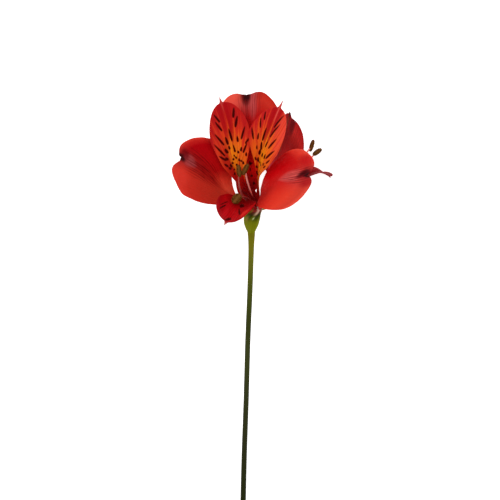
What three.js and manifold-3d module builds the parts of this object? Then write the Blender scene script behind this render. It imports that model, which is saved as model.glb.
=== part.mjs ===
// Alstroemeria (Peruvian lily): one cut stem with two open flowers, lying on its side.
// Millimetres, +Z up. The stem's cut end and the lowest tepals of the rear flower touch z = 0,
// the blooms point to +Y, and the origin is at the bottom centre of the whole stem's box.

import * as THREE from "three";
import { mergeVertices } from "three/addons/utils/BufferGeometryUtils.js";
import Module from "manifold-3d";

const wasm = await Module();
wasm.setup();

// ---------------------------------------------------------------- materials

function matte(color, roughness) {
  return new THREE.MeshStandardMaterial({ color, roughness, metalness: 0 });
}

const GREEN = matte(0x6f7a26, 0.5);
const OUTER_RED = matte(0xc8332a, 0.55);
const STREAKED_ORANGE = matte(0xd8551f, 0.5);
const DEEP_RED = matte(0x8e0d0c, 0.5);
const STAMEN_BROWN = matte(0x6b3a17, 0.7);

// ---------------------------------------------------------------- driving dimensions

// Tepals: each flower has three outer and three inner ones, as free blades on narrow claws.
const BLADE_THICKNESS = 0.6;
const BLADE_ROWS = 12;
const BLADE_COLUMNS = 10;
const MIDRIB_STEPS = 60;
const LOBE_SKEW = 0.7; // moves a notched tip's two lobes towards its middle
const SPIKE_WIDTH = 0.08; // half-width of the pointed tip, as a share of the blade's
const FLATTEST_CURVATURE = 1e-4;
const OUTER_RING = 2.6; // distance from the flower's axis at which an outer claw starts
const INNER_RING = 1.6;
const SEAT_DROP = 0.5; // the ovary's top lies this far below the plane where the claws start

// The stem's centre line runs from the cut end up to the joint of the two flower stalks.
const STEM_LINE = [
  [-3.5, -129, 1.2],
  [-2.8, -97, 4.6],
  [-1.8, -69, 9],
  [-1.1, -41, 14],
  [-0.5, -18, 19],
  [0, 0, 24],
  [0.4, 8.6, 26.6],
];
const STEM_RADII = [1.15, 1.1, 1.05, 1.05, 1.1, 1.15, 1.45];
const STEM_SIDES = 10;
const STEM_STEPS = 24;

const FRONT_OVARY_LINE = [
  [0.3, 8, 26.4],
  [0.6, 11.3, 28],
  [0.9, 14.5, 30],
  [1.5, 17, 32.2],
  [2.2, 18.5, 34],
];
const FRONT_OVARY_RADII = [1.3, 2.8, 3.6, 3.4, 2.6];

const REAR_STALK_LINE = [
  [0.4, 8.6, 26.6],
  [1.9, 12, 25.2],
  [3.5, 15.8, 22.8],
  [4.7, 19.2, 20.6],
];
const REAR_STALK_RADII = [1.1, 1.05, 1.05, 1.2];
const REAR_OVARY_LINE = [
  [4.4, 18.6, 20.9],
  [5.5, 20.3, 20.1],
  [6.8, 21.8, 19.4],
  [7.7, 22.8, 18.8],
  [8.3, 23.5, 18.5],
];
const REAR_OVARY_RADII = [1.1, 2.6, 3.3, 3.4, 2.8];

const OVARY_STEPS = 9;
const OVARY_SIDES = 18;
const OVARY_RIBS = 6;
const RIB_HEIGHT = 0.05; // share of the ovary's radius
const CAP_RADIUS = 3.15; // the ovary's flat top, which carries the claws
const CAP_HEIGHT = 2.6;
const CAP_RIM = 1;
const CAP_BEVEL = 0.2;

// Stamens: six to a flower round a three-lobed style, all rooted on one small disc.
const DISC_RADIUS = 0.95;
const DISC_HEIGHT = 0.9;
const DISC_CLEARANCE = 0.3;
const FILAMENT_RING = 0.42;
const FILAMENT_RADIUS = 0.38;
const FILAMENT_SIDES = 5;
const FILAMENT_STEPS = 6;
const OPEN_ANTHER = { length: 5.6, width: 2.3, depth: 1.7 };
const CLOSED_ANTHER = { length: 4.2, width: 1.3, depth: 1.2 };
const STYLE_LENGTH = 16;
const STYLE_LOBE_LENGTH = 2.2;

// A flower: where its claws start, the way it faces, and which way its uppermost tepal points.
const FRONT_FLOWER = flower([2.9, 20.1, 36], [-0.33, 0.58, 0.74], [-0.09, 0.99, 0.1]);
const REAR_FLOWER = flower([9.1, 24.2, 18], [0.675, 0.675, -0.3], [-0.55, 0.76, 0.47]);

// Tepals, in degrees and mm. claw is where a tepal starts round the flower's axis (0 is the top,
// positive towards the side vector). azimuth is where it points at its start, middle and end, and
// opening how far it leans from the axis at five even stations of its midrib. left and right are
// its half-widths at those stations, cup its cross curvature (1/mm), roll its turn about the
// midrib. round, notch and point shape the tip; channel is the depth and width of the inner fold.
const OUTER_TEPAL = {
  ring: OUTER_RING,
  cup: [0.15, 0.06, 0.01, 0, 0],
  roll: [0, 0, 0],
  round: 0.24,
  notch: 0.1,
  point: 0.02,
  channel: [0, 1],
  material: OUTER_RED,
};
const INNER_TEPAL = {
  ring: INNER_RING,
  cup: [0.25, 0.12, 0.04, 0, -0.03],
  roll: [0, 0, 0],
  round: 0.33,
  notch: 0,
  point: 0.05,
  channel: [0.8, 1.6],
  material: STREAKED_ORANGE,
};

const FRONT_TEPALS = {
  front_tepal_top: {
    ...OUTER_TEPAL,
    claw: 0,
    azimuth: [-2, -1, -2],
    opening: [32, 43, 48, 50, 65],
    length: 47,
    left: [1.4, 2.2, 6.5, 12.5, 17],
    right: [1.4, 2.2, 6.5, 12.5, 16],
    round: 0.18,
    notch: 0.08,
  },
  front_tepal_left: {
    ...OUTER_TEPAL,
    claw: -120,
    azimuth: [-119, -62, -80],
    opening: [33, 31, 33, 43, 48],
    roll: [0, 19, -4],
    length: 40,
    left: [1.2, 2.5, 8.6, 13.4, 14.6],
    right: [1.3, 2.2, 9, 14.8, 17.5],
    cup: [0.15, 0.06, 0, -0.01, -0.01],
    round: 0.21,
    notch: 0.13,
  },
  front_tepal_right: {
    ...OUTER_TEPAL,
    claw: 120,
    azimuth: [118, 94, 95],
    opening: [20, 27, 50, 80, 68],
    roll: [0, 0, 10],
    length: 44,
    left: [1.3, 2, 9, 15, 16],
    right: [1.4, 3.2, 8.6, 13.8, 15.3],
    cup: [0.15, 0.06, 0, -0.01, -0.01],
    notch: 0.14,
  },
  front_inner_upper_left: {
    ...INNER_TEPAL,
    claw: -60,
    azimuth: [-52, -6, -18],
    opening: [14, 30, 41, 46, 54],
    roll: [0, 1, 2],
    length: 50,
    left: [0.9, 2, 3.8, 6.6, 8.6],
    right: [1, 1.9, 3.8, 7.6, 9.6],
  },
  front_inner_upper_right: {
    ...INNER_TEPAL,
    claw: 60,
    azimuth: [52, 44, 26],
    opening: [14, 22, 36, 50, 70],
    roll: [-4, 4, -3],
    length: 51.5,
    left: [1, 1.6, 3.6, 7.8, 11],
    right: [0.9, 1.1, 2.8, 7.4, 9.8],
  },
  front_inner_lower: {
    ...INNER_TEPAL,
    claw: 180,
    azimuth: [180, 168, 196],
    opening: [20, 24, 45, 67, 89],
    roll: [0, -10, 0],
    length: 40,
    left: [0.9, 1.8, 5, 7.8, 9.8],
    right: [0.9, 1.8, 5, 7.6, 9.4],
    cup: [0.25, 0.12, 0.08, 0.05, 0.02],
    channel: [0.5, 1.6],
    material: DEEP_RED,
  },
};

const REAR_TEPALS = {
  rear_tepal_top: {
    ...OUTER_TEPAL,
    claw: 0,
    azimuth: [-2, -4, -5],
    opening: [32, 32, 34, 36, 40],
    length: 36,
    left: [1.3, 2.4, 9.5, 15.5, 16.5],
    right: [1.3, 2.3, 6, 8, 8],
    material: DEEP_RED,
    round: 0.42,
    notch: 0,
    point: 0.05,
  },
  rear_tepal_near: {
    ...OUTER_TEPAL,
    claw: -120,
    azimuth: [-117, -46, -30],
    opening: [44, 84, 88, 90, 92],
    length: 28,
    left: [1.3, 1.9, 4, 5, 5.5],
    right: [1.3, 2.2, 6, 8.5, 9],
    material: DEEP_RED,
  },
  rear_tepal_far: {
    ...OUTER_TEPAL,
    claw: 120,
    azimuth: [118, 38, 32],
    opening: [34, 44, 56, 86, 112],
    roll: [0, 70, 70],
    length: 41,
    left: [1.3, 1.7, 4.5, 7.5, 8.5],
    right: [1.3, 1.7, 4.5, 7.5, 8.5],
    material: DEEP_RED,
  },
  rear_inner_near: {
    ...INNER_TEPAL,
    claw: -60,
    azimuth: [-64, -80, -76],
    opening: [26, 50, 60, 60, 60],
    length: 23,
    left: [0.9, 1.5, 3.4, 5, 5.5],
    right: [0.8, 1.3, 3, 4.6, 5.2],
    material: DEEP_RED,
  },
  rear_inner_far: {
    ...INNER_TEPAL,
    claw: 60,
    azimuth: [64, 36, 24],
    opening: [14, 20, 24, 26, 26],
    length: 29,
    left: [0.9, 1.6, 3.4, 5.4, 6],
    right: [0.9, 1.5, 3, 4.6, 5.2],
    material: DEEP_RED,
  },
  rear_inner_lower: {
    ...INNER_TEPAL,
    claw: 180,
    azimuth: [180, 177, 168],
    opening: [20, 8, 10, 36, 82],
    length: 33.5,
    left: [0.9, 1.6, 3.5, 5.5, 6],
    right: [0.9, 1.8, 4, 7.5, 8],
    material: DEEP_RED,
    cup: [0.2, 0.12, 0.06, 0.05, 0.05],
  },
};

// Stamens: tip gives the anther's middle as distances along the flower's axis, towards its top
// and towards its side; lie is the anther's own direction in the same three components.
const FRONT_STAMENS = [
  { tip: [24.7, 1, 0.2], lie: [0.58, 0.82, 0.05], anther: OPEN_ANTHER },
  { tip: [23.9, 2.2, 2.7], lie: [0.6, 0.75, 0.25], anther: OPEN_ANTHER },
  { tip: [23.7, -13.8, 1.7], lie: [0.75, 0.1, 0.65], anther: OPEN_ANTHER },
  { tip: [15, -3.4, 1.4], lie: [1, -0.3, 0], anther: CLOSED_ANTHER },
  { tip: [13.5, 0.2, 1.6], lie: [1, 0, 0.2], anther: CLOSED_ANTHER },
  { tip: [12, -1.2, -1.4], lie: [1, -0.1, -0.2], anther: CLOSED_ANTHER },
];
const REAR_STAMENS = [
  { tip: [31.4, 2.5, 1.1], lie: [0.86, 0.48, 0.1], anther: OPEN_ANTHER },
  { tip: [31.1, -0.9, -0.7], lie: [0.96, -0.2, 0.1], anther: OPEN_ANTHER },
  { tip: [25, -3, 2.6], lie: [0.9, -0.4, 0.2], anther: OPEN_ANTHER },
  { tip: [15, -2.6, -1.6], lie: [1, -0.3, 0], anther: CLOSED_ANTHER },
  { tip: [13.5, 1.4, 1.6], lie: [1, 0, 0.2], anther: CLOSED_ANTHER },
  { tip: [12, 1.2, -1.8], lie: [1, -0.1, -0.2], anther: CLOSED_ANTHER },
];

// ---------------------------------------------------------------- curves

// The value of a row of evenly spaced stations at t from 0 to 1, as a smooth curve through them.
function alongStations(stations, t, flatEnd = false) {
  const last = stations.length - 1;
  const place = THREE.MathUtils.clamp(t, 0, 1) * last;
  const index = Math.min(Math.floor(place), last - 1);
  const f = place - index;
  const before = index > 0 ? stations[index - 1] : 2 * stations[0] - stations[1];
  const beyondEnd = flatEnd ? stations[last - 1] : 2 * stations[last] - stations[last - 1];
  const after = index + 2 <= last ? stations[index + 2] : beyondEnd;
  const from = stations[index];
  const to = stations[index + 1];
  const slopeFrom = (to - before) / 2;
  const slopeTo = (after - from) / 2;
  return (
    (2 * f ** 3 - 3 * f ** 2 + 1) * from +
    (f ** 3 - 2 * f ** 2 + f) * slopeFrom +
    (-2 * f ** 3 + 3 * f ** 2) * to +
    (f ** 3 - f ** 2) * slopeTo
  );
}

function alongLine(line, t) {
  const x = alongStations(line.map((p) => p[0]), t);
  const y = alongStations(line.map((p) => p[1]), t);
  const z = alongStations(line.map((p) => p[2]), t);
  return new THREE.Vector3(x, y, z);
}

// a * x + b * y, for two vectors.
function mix(x, a, y, b) {
  return x.clone().multiplyScalar(a).addScaledVector(y, b);
}

// ---------------------------------------------------------------- meshes

function meshFrom(points, triangles) {
  const geometry = new THREE.BufferGeometry();
  const flat = points.flatMap((p) => [p.x, p.y, p.z]);
  geometry.setAttribute("position", new THREE.Float32BufferAttribute(flat, 3));
  geometry.setIndex(triangles);
  return geometry;
}

function solid(geometry) {
  geometry.deleteAttribute("normal");
  geometry.deleteAttribute("uv");
  const merged = mergeVertices(geometry, 1e-4);
  const vertProperties = new Float32Array(merged.attributes.position.array);
  const triVerts = new Uint32Array(merged.index.array);
  return new wasm.Manifold(new wasm.Mesh({ numProp: 3, vertProperties, triVerts }));
}

function join(geometries) {
  const whole = geometries.map(solid).reduce((a, b) => a.add(b));
  const mesh = whole.getMesh();
  const geometry = new THREE.BufferGeometry();
  geometry.setAttribute("position", new THREE.BufferAttribute(mesh.vertProperties, 3));
  geometry.setIndex(new THREE.BufferAttribute(mesh.triVerts, 1));
  return geometry;
}

function node(name, geometry, material) {
  geometry.computeVertexNormals();
  const mesh = new THREE.Mesh(geometry, material);
  mesh.name = name;
  return mesh;
}

// A closed tube round a smooth line, with a radius that changes along it and optional ribs.
function tube(line, radii, sides, steps, ribs = 0) {
  const points = [];
  const triangles = [];
  const nudge = 1e-3;
  const guide = new THREE.Vector3(0.3, 0.1, 1);
  for (let step = 0; step <= steps; step++) {
    const t = step / steps;
    const centre = alongLine(line, t);
    const ahead = alongLine(line, Math.min(t + nudge, 1));
    const tangent = ahead.sub(alongLine(line, Math.max(t - nudge, 0))).normalize();
    const across = new THREE.Vector3().crossVectors(tangent, guide).normalize();
    const up = new THREE.Vector3().crossVectors(across, tangent);
    const radius = alongStations(radii, t);
    for (let side = 0; side < sides; side++) {
      const angle = (2 * Math.PI * side) / sides;
      const ribbed = radius * (1 + (ribs ? RIB_HEIGHT * Math.cos(ribs * angle) : 0));
      const offset = mix(across, ribbed * Math.cos(angle), up, ribbed * Math.sin(angle));
      points.push(centre.clone().add(offset));
    }
  }
  for (let step = 0; step < steps; step++) {
    for (let side = 0; side < sides; side++) {
      const a = step * sides + side;
      const b = step * sides + ((side + 1) % sides);
      triangles.push(a, b + sides, b, a, a + sides, b + sides);
    }
  }
  const start = points.push(alongLine(line, 0)) - 1;
  const end = points.push(alongLine(line, 1)) - 1;
  for (let side = 0; side < sides; side++) {
    const next = (side + 1) % sides;
    triangles.push(start, side, next);
    triangles.push(end, steps * sides + next, steps * sides + side);
  }
  return meshFrom(points, triangles);
}

// ---------------------------------------------------------------- flowers

function flower(base, axis, top) {
  const facing = new THREE.Vector3(...axis).normalize();
  const upward = new THREE.Vector3(...top);
  upward.addScaledVector(facing, -upward.dot(facing)).normalize();
  const sideways = new THREE.Vector3().crossVectors(upward, facing);
  return { base: new THREE.Vector3(...base), facing, upward, sideways };
}

// A direction round the flower's axis: 0 degrees is its top.
function radial(bloom, degrees) {
  const angle = THREE.MathUtils.degToRad(degrees);
  return mix(bloom.upward, Math.cos(angle), bloom.sideways, Math.sin(angle));
}

// A point given by its distances along the flower's axis, towards its top and to its side.
function inFlower(bloom, [along, up, side]) {
  return bloom.base
    .clone()
    .addScaledVector(bloom.facing, along)
    .addScaledVector(bloom.upward, up)
    .addScaledVector(bloom.sideways, side);
}

// The midrib as a row of points, each with the way it runs, its inner face and its right side.
function midrib(bloom, tepal) {
  const rows = [];
  const start = bloom.base.clone().addScaledVector(radial(bloom, tepal.claw), tepal.ring);
  let point = start;
  let previous = null;
  for (let step = 0; step <= MIDRIB_STEPS; step++) {
    const s = step / MIDRIB_STEPS;
    const outward = radial(bloom, alongStations(tepal.azimuth, s));
    const lean = THREE.MathUtils.degToRad(alongStations(tepal.opening, s));
    const along = mix(bloom.facing, Math.cos(lean), outward, Math.sin(lean));
    const inner = mix(bloom.facing, Math.sin(lean), outward, -Math.cos(lean));
    const side = new THREE.Vector3().crossVectors(along, inner);
    const turn = THREE.MathUtils.degToRad(alongStations(tepal.roll, s));
    const face = mix(inner, Math.cos(turn), side, Math.sin(turn));
    const right = new THREE.Vector3().crossVectors(along, face);
    if (previous) {
      const halfStep = tepal.length / MIDRIB_STEPS / 2;
      point = point.clone().addScaledVector(previous, halfStep).addScaledVector(along, halfStep);
    }
    rows.push({ point, along, face, right });
    previous = along;
  }
  return rows;
}

// How much of the midrib's length the tip reaches at v, from -1 (left edge) to 1 (right edge).
function tipReach(tepal, v) {
  const edge = Math.min(Math.abs(v), 1);
  const shoulder = tepal.round * (1 - Math.sqrt(1 - edge ** 2));
  const lobes = tepal.notch * Math.sin(Math.PI * edge ** LOBE_SKEW) * Math.sqrt(1 - edge);
  const spike = tepal.point * Math.exp(-((edge / SPIKE_WIDTH) ** 2));
  return 1 - shoulder + lobes + spike;
}

// A point of the blade's middle surface and the blade's normal there.
function bladePoint(rows, tepal, t, v) {
  const s = t * tipReach(tepal, v);
  const place = Math.min(s, 1) * MIDRIB_STEPS;
  const index = Math.min(Math.floor(place), MIDRIB_STEPS - 1);
  const f = place - index;
  const [low, high] = [rows[index], rows[index + 1]];
  const point = low.point.clone().lerp(high.point, f);
  point.addScaledVector(high.along, Math.max(s - 1, 0) * tepal.length);
  const face = low.face.clone().lerp(high.face, f).normalize();
  const right = low.right.clone().lerp(high.right, f).normalize();
  const across = v * alongStations(v < 0 ? tepal.left : tepal.right, t, true);
  const curvature = alongStations(tepal.cup, s) || FLATTEST_CURVATURE;
  const bend = curvature * across;
  const [depth, width] = tepal.channel;
  const foldHere = depth * Math.sqrt(Math.sin(Math.PI * Math.min(s, 1)));
  const fold = foldHere * Math.exp(-((across / width) ** 2));
  point.addScaledVector(right, Math.sin(bend) / curvature);
  point.addScaledVector(face, (1 - Math.cos(bend)) / curvature - fold);
  const slope = Math.tan(bend) + (2 * across * fold) / width ** 2;
  return { point, normal: face.addScaledVector(right, -slope).normalize() };
}

// A tepal as a thin closed blade, split into triangles alike on both faces.
function blade(bloom, tepal) {
  const rows = midrib(bloom, tepal);
  const rowLength = BLADE_COLUMNS + 1;
  const faceSize = (BLADE_ROWS + 1) * rowLength;
  const inner = [];
  const outer = [];
  for (let row = 0; row <= BLADE_ROWS; row++) {
    for (let column = 0; column <= BLADE_COLUMNS; column++) {
      const v = Math.sin((Math.PI / 2) * ((2 * column) / BLADE_COLUMNS - 1));
      const { point, normal } = bladePoint(rows, tepal, row / BLADE_ROWS, v);
      inner.push(point.clone().addScaledVector(normal, BLADE_THICKNESS / 2));
      outer.push(point.clone().addScaledVector(normal, -BLADE_THICKNESS / 2));
    }
  }
  const triangles = [];
  for (let row = 0; row < BLADE_ROWS; row++) {
    for (let column = 0; column < BLADE_COLUMNS; column++) {
      const a = row * rowLength + column;
      const [b, c, d] = [a + 1, a + 1 + rowLength, a + rowLength];
      triangles.push(a, b, c, a, c, d);
      triangles.push(a + faceSize, c + faceSize, b + faceSize);
      triangles.push(a + faceSize, d + faceSize, c + faceSize);
    }
  }
  const rim = [];
  for (let column = 0; column < BLADE_COLUMNS; column++) {
    rim.push(column);
  }
  for (let row = 0; row < BLADE_ROWS; row++) {
    rim.push(row * rowLength + BLADE_COLUMNS);
  }
  for (let column = BLADE_COLUMNS; column > 0; column--) {
    rim.push(BLADE_ROWS * rowLength + column);
  }
  for (let row = BLADE_ROWS; row > 0; row--) {
    rim.push(row * rowLength);
  }
  rim.forEach((from, index) => {
    const to = rim[(index + 1) % rim.length];
    triangles.push(from, from + faceSize, to + faceSize);
    triangles.push(from, to + faceSize, to);
  });
  return meshFrom(inner.concat(outer), triangles);
}

// ---------------------------------------------------------------- ovaries and stamens

// A body turned round the flower's axis, from a profile of radius and height points.
function turned(bloom, profile, sides) {
  const geometry = new THREE.LatheGeometry(profile.map(([r, h]) => new THREE.Vector2(r, h)), sides);
  const yAxis = new THREE.Vector3(0, 1, 0);
  geometry.applyQuaternion(new THREE.Quaternion().setFromUnitVectors(yAxis, bloom.facing));
  return geometry.translate(bloom.base.x, bloom.base.y, bloom.base.z);
}

// The ovary's flat top, square to the way the flower faces.
function ovaryCap(bloom) {
  const top = -SEAT_DROP;
  const profile = [
    [0, top - CAP_HEIGHT],
    [CAP_RADIUS * 0.7, top - CAP_HEIGHT],
    [CAP_RADIUS, top - CAP_RIM],
    [CAP_RADIUS, top - CAP_BEVEL],
    [CAP_RADIUS - CAP_BEVEL, top],
    [0, top],
  ];
  return turned(bloom, profile, OVARY_SIDES);
}

// A filament leaves the disc along the flower's axis and bends over to its anther.
function filamentLine(bloom, root, tip) {
  const start = inFlower(bloom, root);
  const end = inFlower(bloom, tip);
  const [reach, up, side] = tip;
  const straight = inFlower(bloom, [reach * 0.35, root[1] + up * 0.1, root[2] + side * 0.1]);
  const bent = inFlower(bloom, [reach * 0.72, up * 0.5, side * 0.5]);
  const curve = new THREE.CubicBezierCurve3(start, straight, bent, end);
  return curve.getPoints(4).map((p) => p.toArray());
}

function anther(bloom, stamen) {
  const { length, width, depth } = stamen.anther;
  const geometry = new THREE.SphereGeometry(0.5, 8, 5);
  geometry.scale(width, length, depth);
  const origin = inFlower(bloom, [0, 0, 0]);
  const lie = inFlower(bloom, stamen.lie).sub(origin).normalize();
  const yAxis = new THREE.Vector3(0, 1, 0);
  geometry.applyQuaternion(new THREE.Quaternion().setFromUnitVectors(yAxis, lie));
  const middle = inFlower(bloom, stamen.tip);
  return geometry.translate(middle.x, middle.y, middle.z);
}

function stamenCluster(bloom, stamens) {
  const discBottom = DISC_CLEARANCE - SEAT_DROP;
  const discTop = discBottom + DISC_HEIGHT;
  const disc = [
    [0, discBottom],
    [DISC_RADIUS, discBottom],
    [DISC_RADIUS, discTop],
    [0, discTop],
  ];
  const pieces = [turned(bloom, disc, 12)];
  const rootDepth = discBottom + 0.2;
  stamens.forEach((stamen, index) => {
    const angle = (2 * Math.PI * index) / stamens.length;
    const root = [rootDepth, FILAMENT_RING * Math.cos(angle), FILAMENT_RING * Math.sin(angle)];
    const line = filamentLine(bloom, root, stamen.tip);
    const radii = [FILAMENT_RADIUS, FILAMENT_RADIUS, FILAMENT_RADIUS * 0.9, FILAMENT_RADIUS * 0.7];
    pieces.push(tube(line, radii, FILAMENT_SIDES, FILAMENT_STEPS));
    pieces.push(anther(bloom, stamen));
  });
  const styleEnd = [STYLE_LENGTH, 0, 0];
  const styleLine = [[rootDepth, 0, 0], [STYLE_LENGTH / 2, 0, 0], styleEnd];
  const toPoint = (p) => inFlower(bloom, p).toArray();
  pieces.push(tube(styleLine.map(toPoint), [0.4, 0.35, 0.3], FILAMENT_SIDES, FILAMENT_STEPS));
  for (let lobe = 0; lobe < 3; lobe++) {
    const angle = (2 * Math.PI * lobe) / 3;
    const spread = STYLE_LOBE_LENGTH * 0.4;
    const lobeTop = STYLE_LENGTH + STYLE_LOBE_LENGTH;
    const lobeEnd = [lobeTop, spread * Math.cos(angle), spread * Math.sin(angle)];
    const lobeLine = [[STYLE_LENGTH - 0.5, 0, 0], lobeEnd];
    pieces.push(tube(lobeLine.map(toPoint), [0.25, 0.22], FILAMENT_SIDES, 2));
  }
  return join(pieces);
}

// The stem with both flower stalks and ovaries, which grew as one piece.
function stemGeometry() {
  return join([
    tube(STEM_LINE, STEM_RADII, STEM_SIDES, STEM_STEPS),
    tube(FRONT_OVARY_LINE, FRONT_OVARY_RADII, OVARY_SIDES, OVARY_STEPS, OVARY_RIBS),
    ovaryCap(FRONT_FLOWER),
    tube(REAR_STALK_LINE, REAR_STALK_RADII, STEM_SIDES, 6),
    tube(REAR_OVARY_LINE, REAR_OVARY_RADII, OVARY_SIDES, OVARY_STEPS, OVARY_RIBS),
    ovaryCap(REAR_FLOWER),
  ]);
}

// ---------------------------------------------------------------- assembly

const stalk = new THREE.Group();
stalk.add(node("stem", stemGeometry(), GREEN));

for (const [name, tepal] of Object.entries(FRONT_TEPALS)) {
  stalk.add(node(name, blade(FRONT_FLOWER, tepal), tepal.material));
}
stalk.add(node("front_stamens", stamenCluster(FRONT_FLOWER, FRONT_STAMENS), STAMEN_BROWN));

for (const [name, tepal] of Object.entries(REAR_TEPALS)) {
  stalk.add(node(name, blade(REAR_FLOWER, tepal), tepal.material));
}
stalk.add(node("rear_stamens", stamenCluster(REAR_FLOWER, REAR_STAMENS), STAMEN_BROWN));

// The origin is set at the bottom centre of the box.
const box = new THREE.Box3().setFromObject(stalk, true);
const middle = box.getCenter(new THREE.Vector3());
stalk.position.set(-middle.x, -middle.y, -box.min.z);
const group = new THREE.Group();
group.add(stalk);

export default group;
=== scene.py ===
import bpy
import mathutils
import numpy as np
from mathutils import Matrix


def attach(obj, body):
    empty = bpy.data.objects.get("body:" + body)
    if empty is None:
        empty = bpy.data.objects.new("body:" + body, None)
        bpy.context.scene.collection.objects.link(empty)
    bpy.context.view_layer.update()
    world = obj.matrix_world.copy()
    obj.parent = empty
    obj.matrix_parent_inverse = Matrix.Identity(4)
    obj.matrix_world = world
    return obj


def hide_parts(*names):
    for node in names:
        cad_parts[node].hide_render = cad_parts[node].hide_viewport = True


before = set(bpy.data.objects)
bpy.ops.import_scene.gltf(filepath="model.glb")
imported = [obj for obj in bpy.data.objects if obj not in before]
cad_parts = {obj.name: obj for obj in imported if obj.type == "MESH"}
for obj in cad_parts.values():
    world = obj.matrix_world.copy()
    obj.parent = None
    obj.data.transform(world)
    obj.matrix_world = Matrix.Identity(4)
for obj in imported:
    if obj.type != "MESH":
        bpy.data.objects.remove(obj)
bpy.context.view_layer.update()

# ---------------------------------------------------------------- stalk
# The bare stalk that carries both blooms: one long, slightly bowed tube of green plant tissue with
# faint lengthwise ridges. It is olive where it is young, under the blooms, and darker towards its
# cut end, which lies on the table.

ORIGIN = np.array([1.1858, -28.8671, 0.0864])  # mm; the part's origin in the drawing used here
STALK_LINE = [
    (-3.45, -129, 1.32), (-2.75, -97, 4.6), (-1.8, -69, 9), (-1, -41, 14), (-0.05, -18, 19),
    (0.5, 0, 24), (0.6, 8.6, 26.6),
]
STALK_RADII = (1.27, 1.24, 1.22, 1.22, 1.24, 1.3, 1.75)


def metres(points):
    return (np.asarray(points, float) - ORIGIN) / 1000


def unit(vectors):
    return vectors / np.linalg.norm(vectors, axis=-1, keepdims=True)


def smoothly(stations, t, flat_end=False):
    """The smooth curve through evenly spaced stations, at t from 0 to 1."""
    values = np.asarray(stations, float)
    last = len(values) - 1
    place = np.clip(np.asarray(t, float), 0, 1) * last
    index = np.minimum(place.astype(int), last - 1)
    f = place - index
    if values.ndim > 1:
        f = f[..., None]
    beyond = values[-2] if flat_end else 2 * values[-1] - values[-2]
    row = np.concatenate([[2 * values[0] - values[1]], values, [beyond]])
    before, here, there, after = (row[index + step] for step in range(4))
    rise_here, rise_there = (there - before) / 2, (after - here) / 2
    return (
        (2 * f**3 - 3 * f**2 + 1) * here
        + (f**3 - 2 * f**2 + f) * rise_here
        + (3 * f**2 - 2 * f**3) * there
        + (f**3 - f**2) * rise_there
    )


def tint(red, green, blue):
    """A display colour from 0 to 255 as the linear colour that a shader takes."""
    share = np.array([red, green, blue]) / 255
    linear = np.where(share <= 0.04045, share / 12.92, ((share + 0.055) / 1.055) ** 2.4)
    return (*linear.tolist(), 1.0)


def feed(tree, socket, value):
    """Links an input to a node or a socket, or sets it; colours are display colours."""
    if isinstance(value, bpy.types.Node):
        value = value.outputs[0]
    if isinstance(value, bpy.types.NodeSocket):
        tree.links.new(value, socket)
    else:
        socket.default_value = tint(*value) if socket.type == "RGBA" else value


def grow(tree, kind, inputs=None, **settings):
    """A node with its settings; inputs are given by name or by number."""
    made = tree.nodes.new(kind)
    for name, value in settings.items():
        setattr(made, name, value)
    for name, value in (inputs or {}).items():
        feed(tree, made.inputs[name], value)
    return made


def calc(tree, operation, *values):
    return grow(tree, "ShaderNodeMath", dict(enumerate(values)), operation=operation).outputs[0]


def times(tree, product, *factors):
    for factor in factors:
        product = calc(tree, "MULTIPLY", product, factor)
    return product


def ramp(tree, factor, stops):
    """Colours along a factor, from stops of a place and a display colour."""
    made = grow(tree, "ShaderNodeValToRGB", {0: factor})
    elements = made.color_ramp.elements
    while len(elements) < len(stops):
        elements.new(0.5)
    for element, (place, *colour) in zip(elements, stops):
        element.position = place
        element.color = tint(*colour)
    return made.outputs[0]


def swell(tree, factor, low, high):
    """0 at low and 1 at high, which may be the smaller, with a soft step between them."""
    inputs = {0: factor, 1: low, 2: high, 3: 0.0, 4: 1.0}
    return grow(tree, "ShaderNodeMapRange", inputs, interpolation_type="SMOOTHSTEP").outputs[0]


def blend(tree, share, below, over, kind="MIX"):
    inputs = {0: share, 6: below, 7: over}
    return grow(tree, "ShaderNodeMix", inputs, data_type="RGBA", blend_type=kind).outputs[2]


def coat(tree, below, where, share, tone, kind="MIX"):
    """A tone over the colour below, a share of the way in a certain place."""
    return blend(tree, times(tree, where, share), below, tone, kind)


def reading(tree, name):
    """A number that the mesh carries at each of its points."""
    return grow(tree, "ShaderNodeAttribute", attribute_name=name).outputs["Fac"]


def grain(tree, scale, stretch=(1, 1, 1), detail=3.0, vector=None):
    """Soft noise on the piece's own coordinates, stretched along its axes."""
    if vector is None:
        vector = grow(tree, "ShaderNodeTexCoord").outputs["Object"]
    mapped = grow(tree, "ShaderNodeMapping", {"Vector": vector, "Scale": stretch})
    inputs = {"Vector": mapped, "Scale": scale, "Detail": detail}
    return grow(tree, "ShaderNodeTexNoise", inputs).outputs["Fac"]


def finish_of(name, roughness, **constants):
    """A new material: returns it with its tree and its shader."""
    material = bpy.data.materials.new(name)
    material.use_nodes = True
    shader = material.node_tree.nodes["Principled BSDF"]
    shader.inputs["Roughness"].default_value = roughness
    for socket, value in constants.items():
        shader.inputs[socket.replace("_", " ")].default_value = value
    return material, material.node_tree, shader


def paint(tree, shader, colour):
    tree.links.new(colour, shader.inputs["Base Color"])


def emboss(tree, shader, height, distance, strength=1.0):
    inputs = {"Height": height, "Distance": distance, "Strength": strength}
    tree.links.new(grow(tree, "ShaderNodeBump", inputs).outputs[0], shader.inputs["Normal"])


SOCKETS = {int: "NodeSocketInt", float: "NodeSocketFloat", type(None): "NodeSocketMaterial"}


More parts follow.
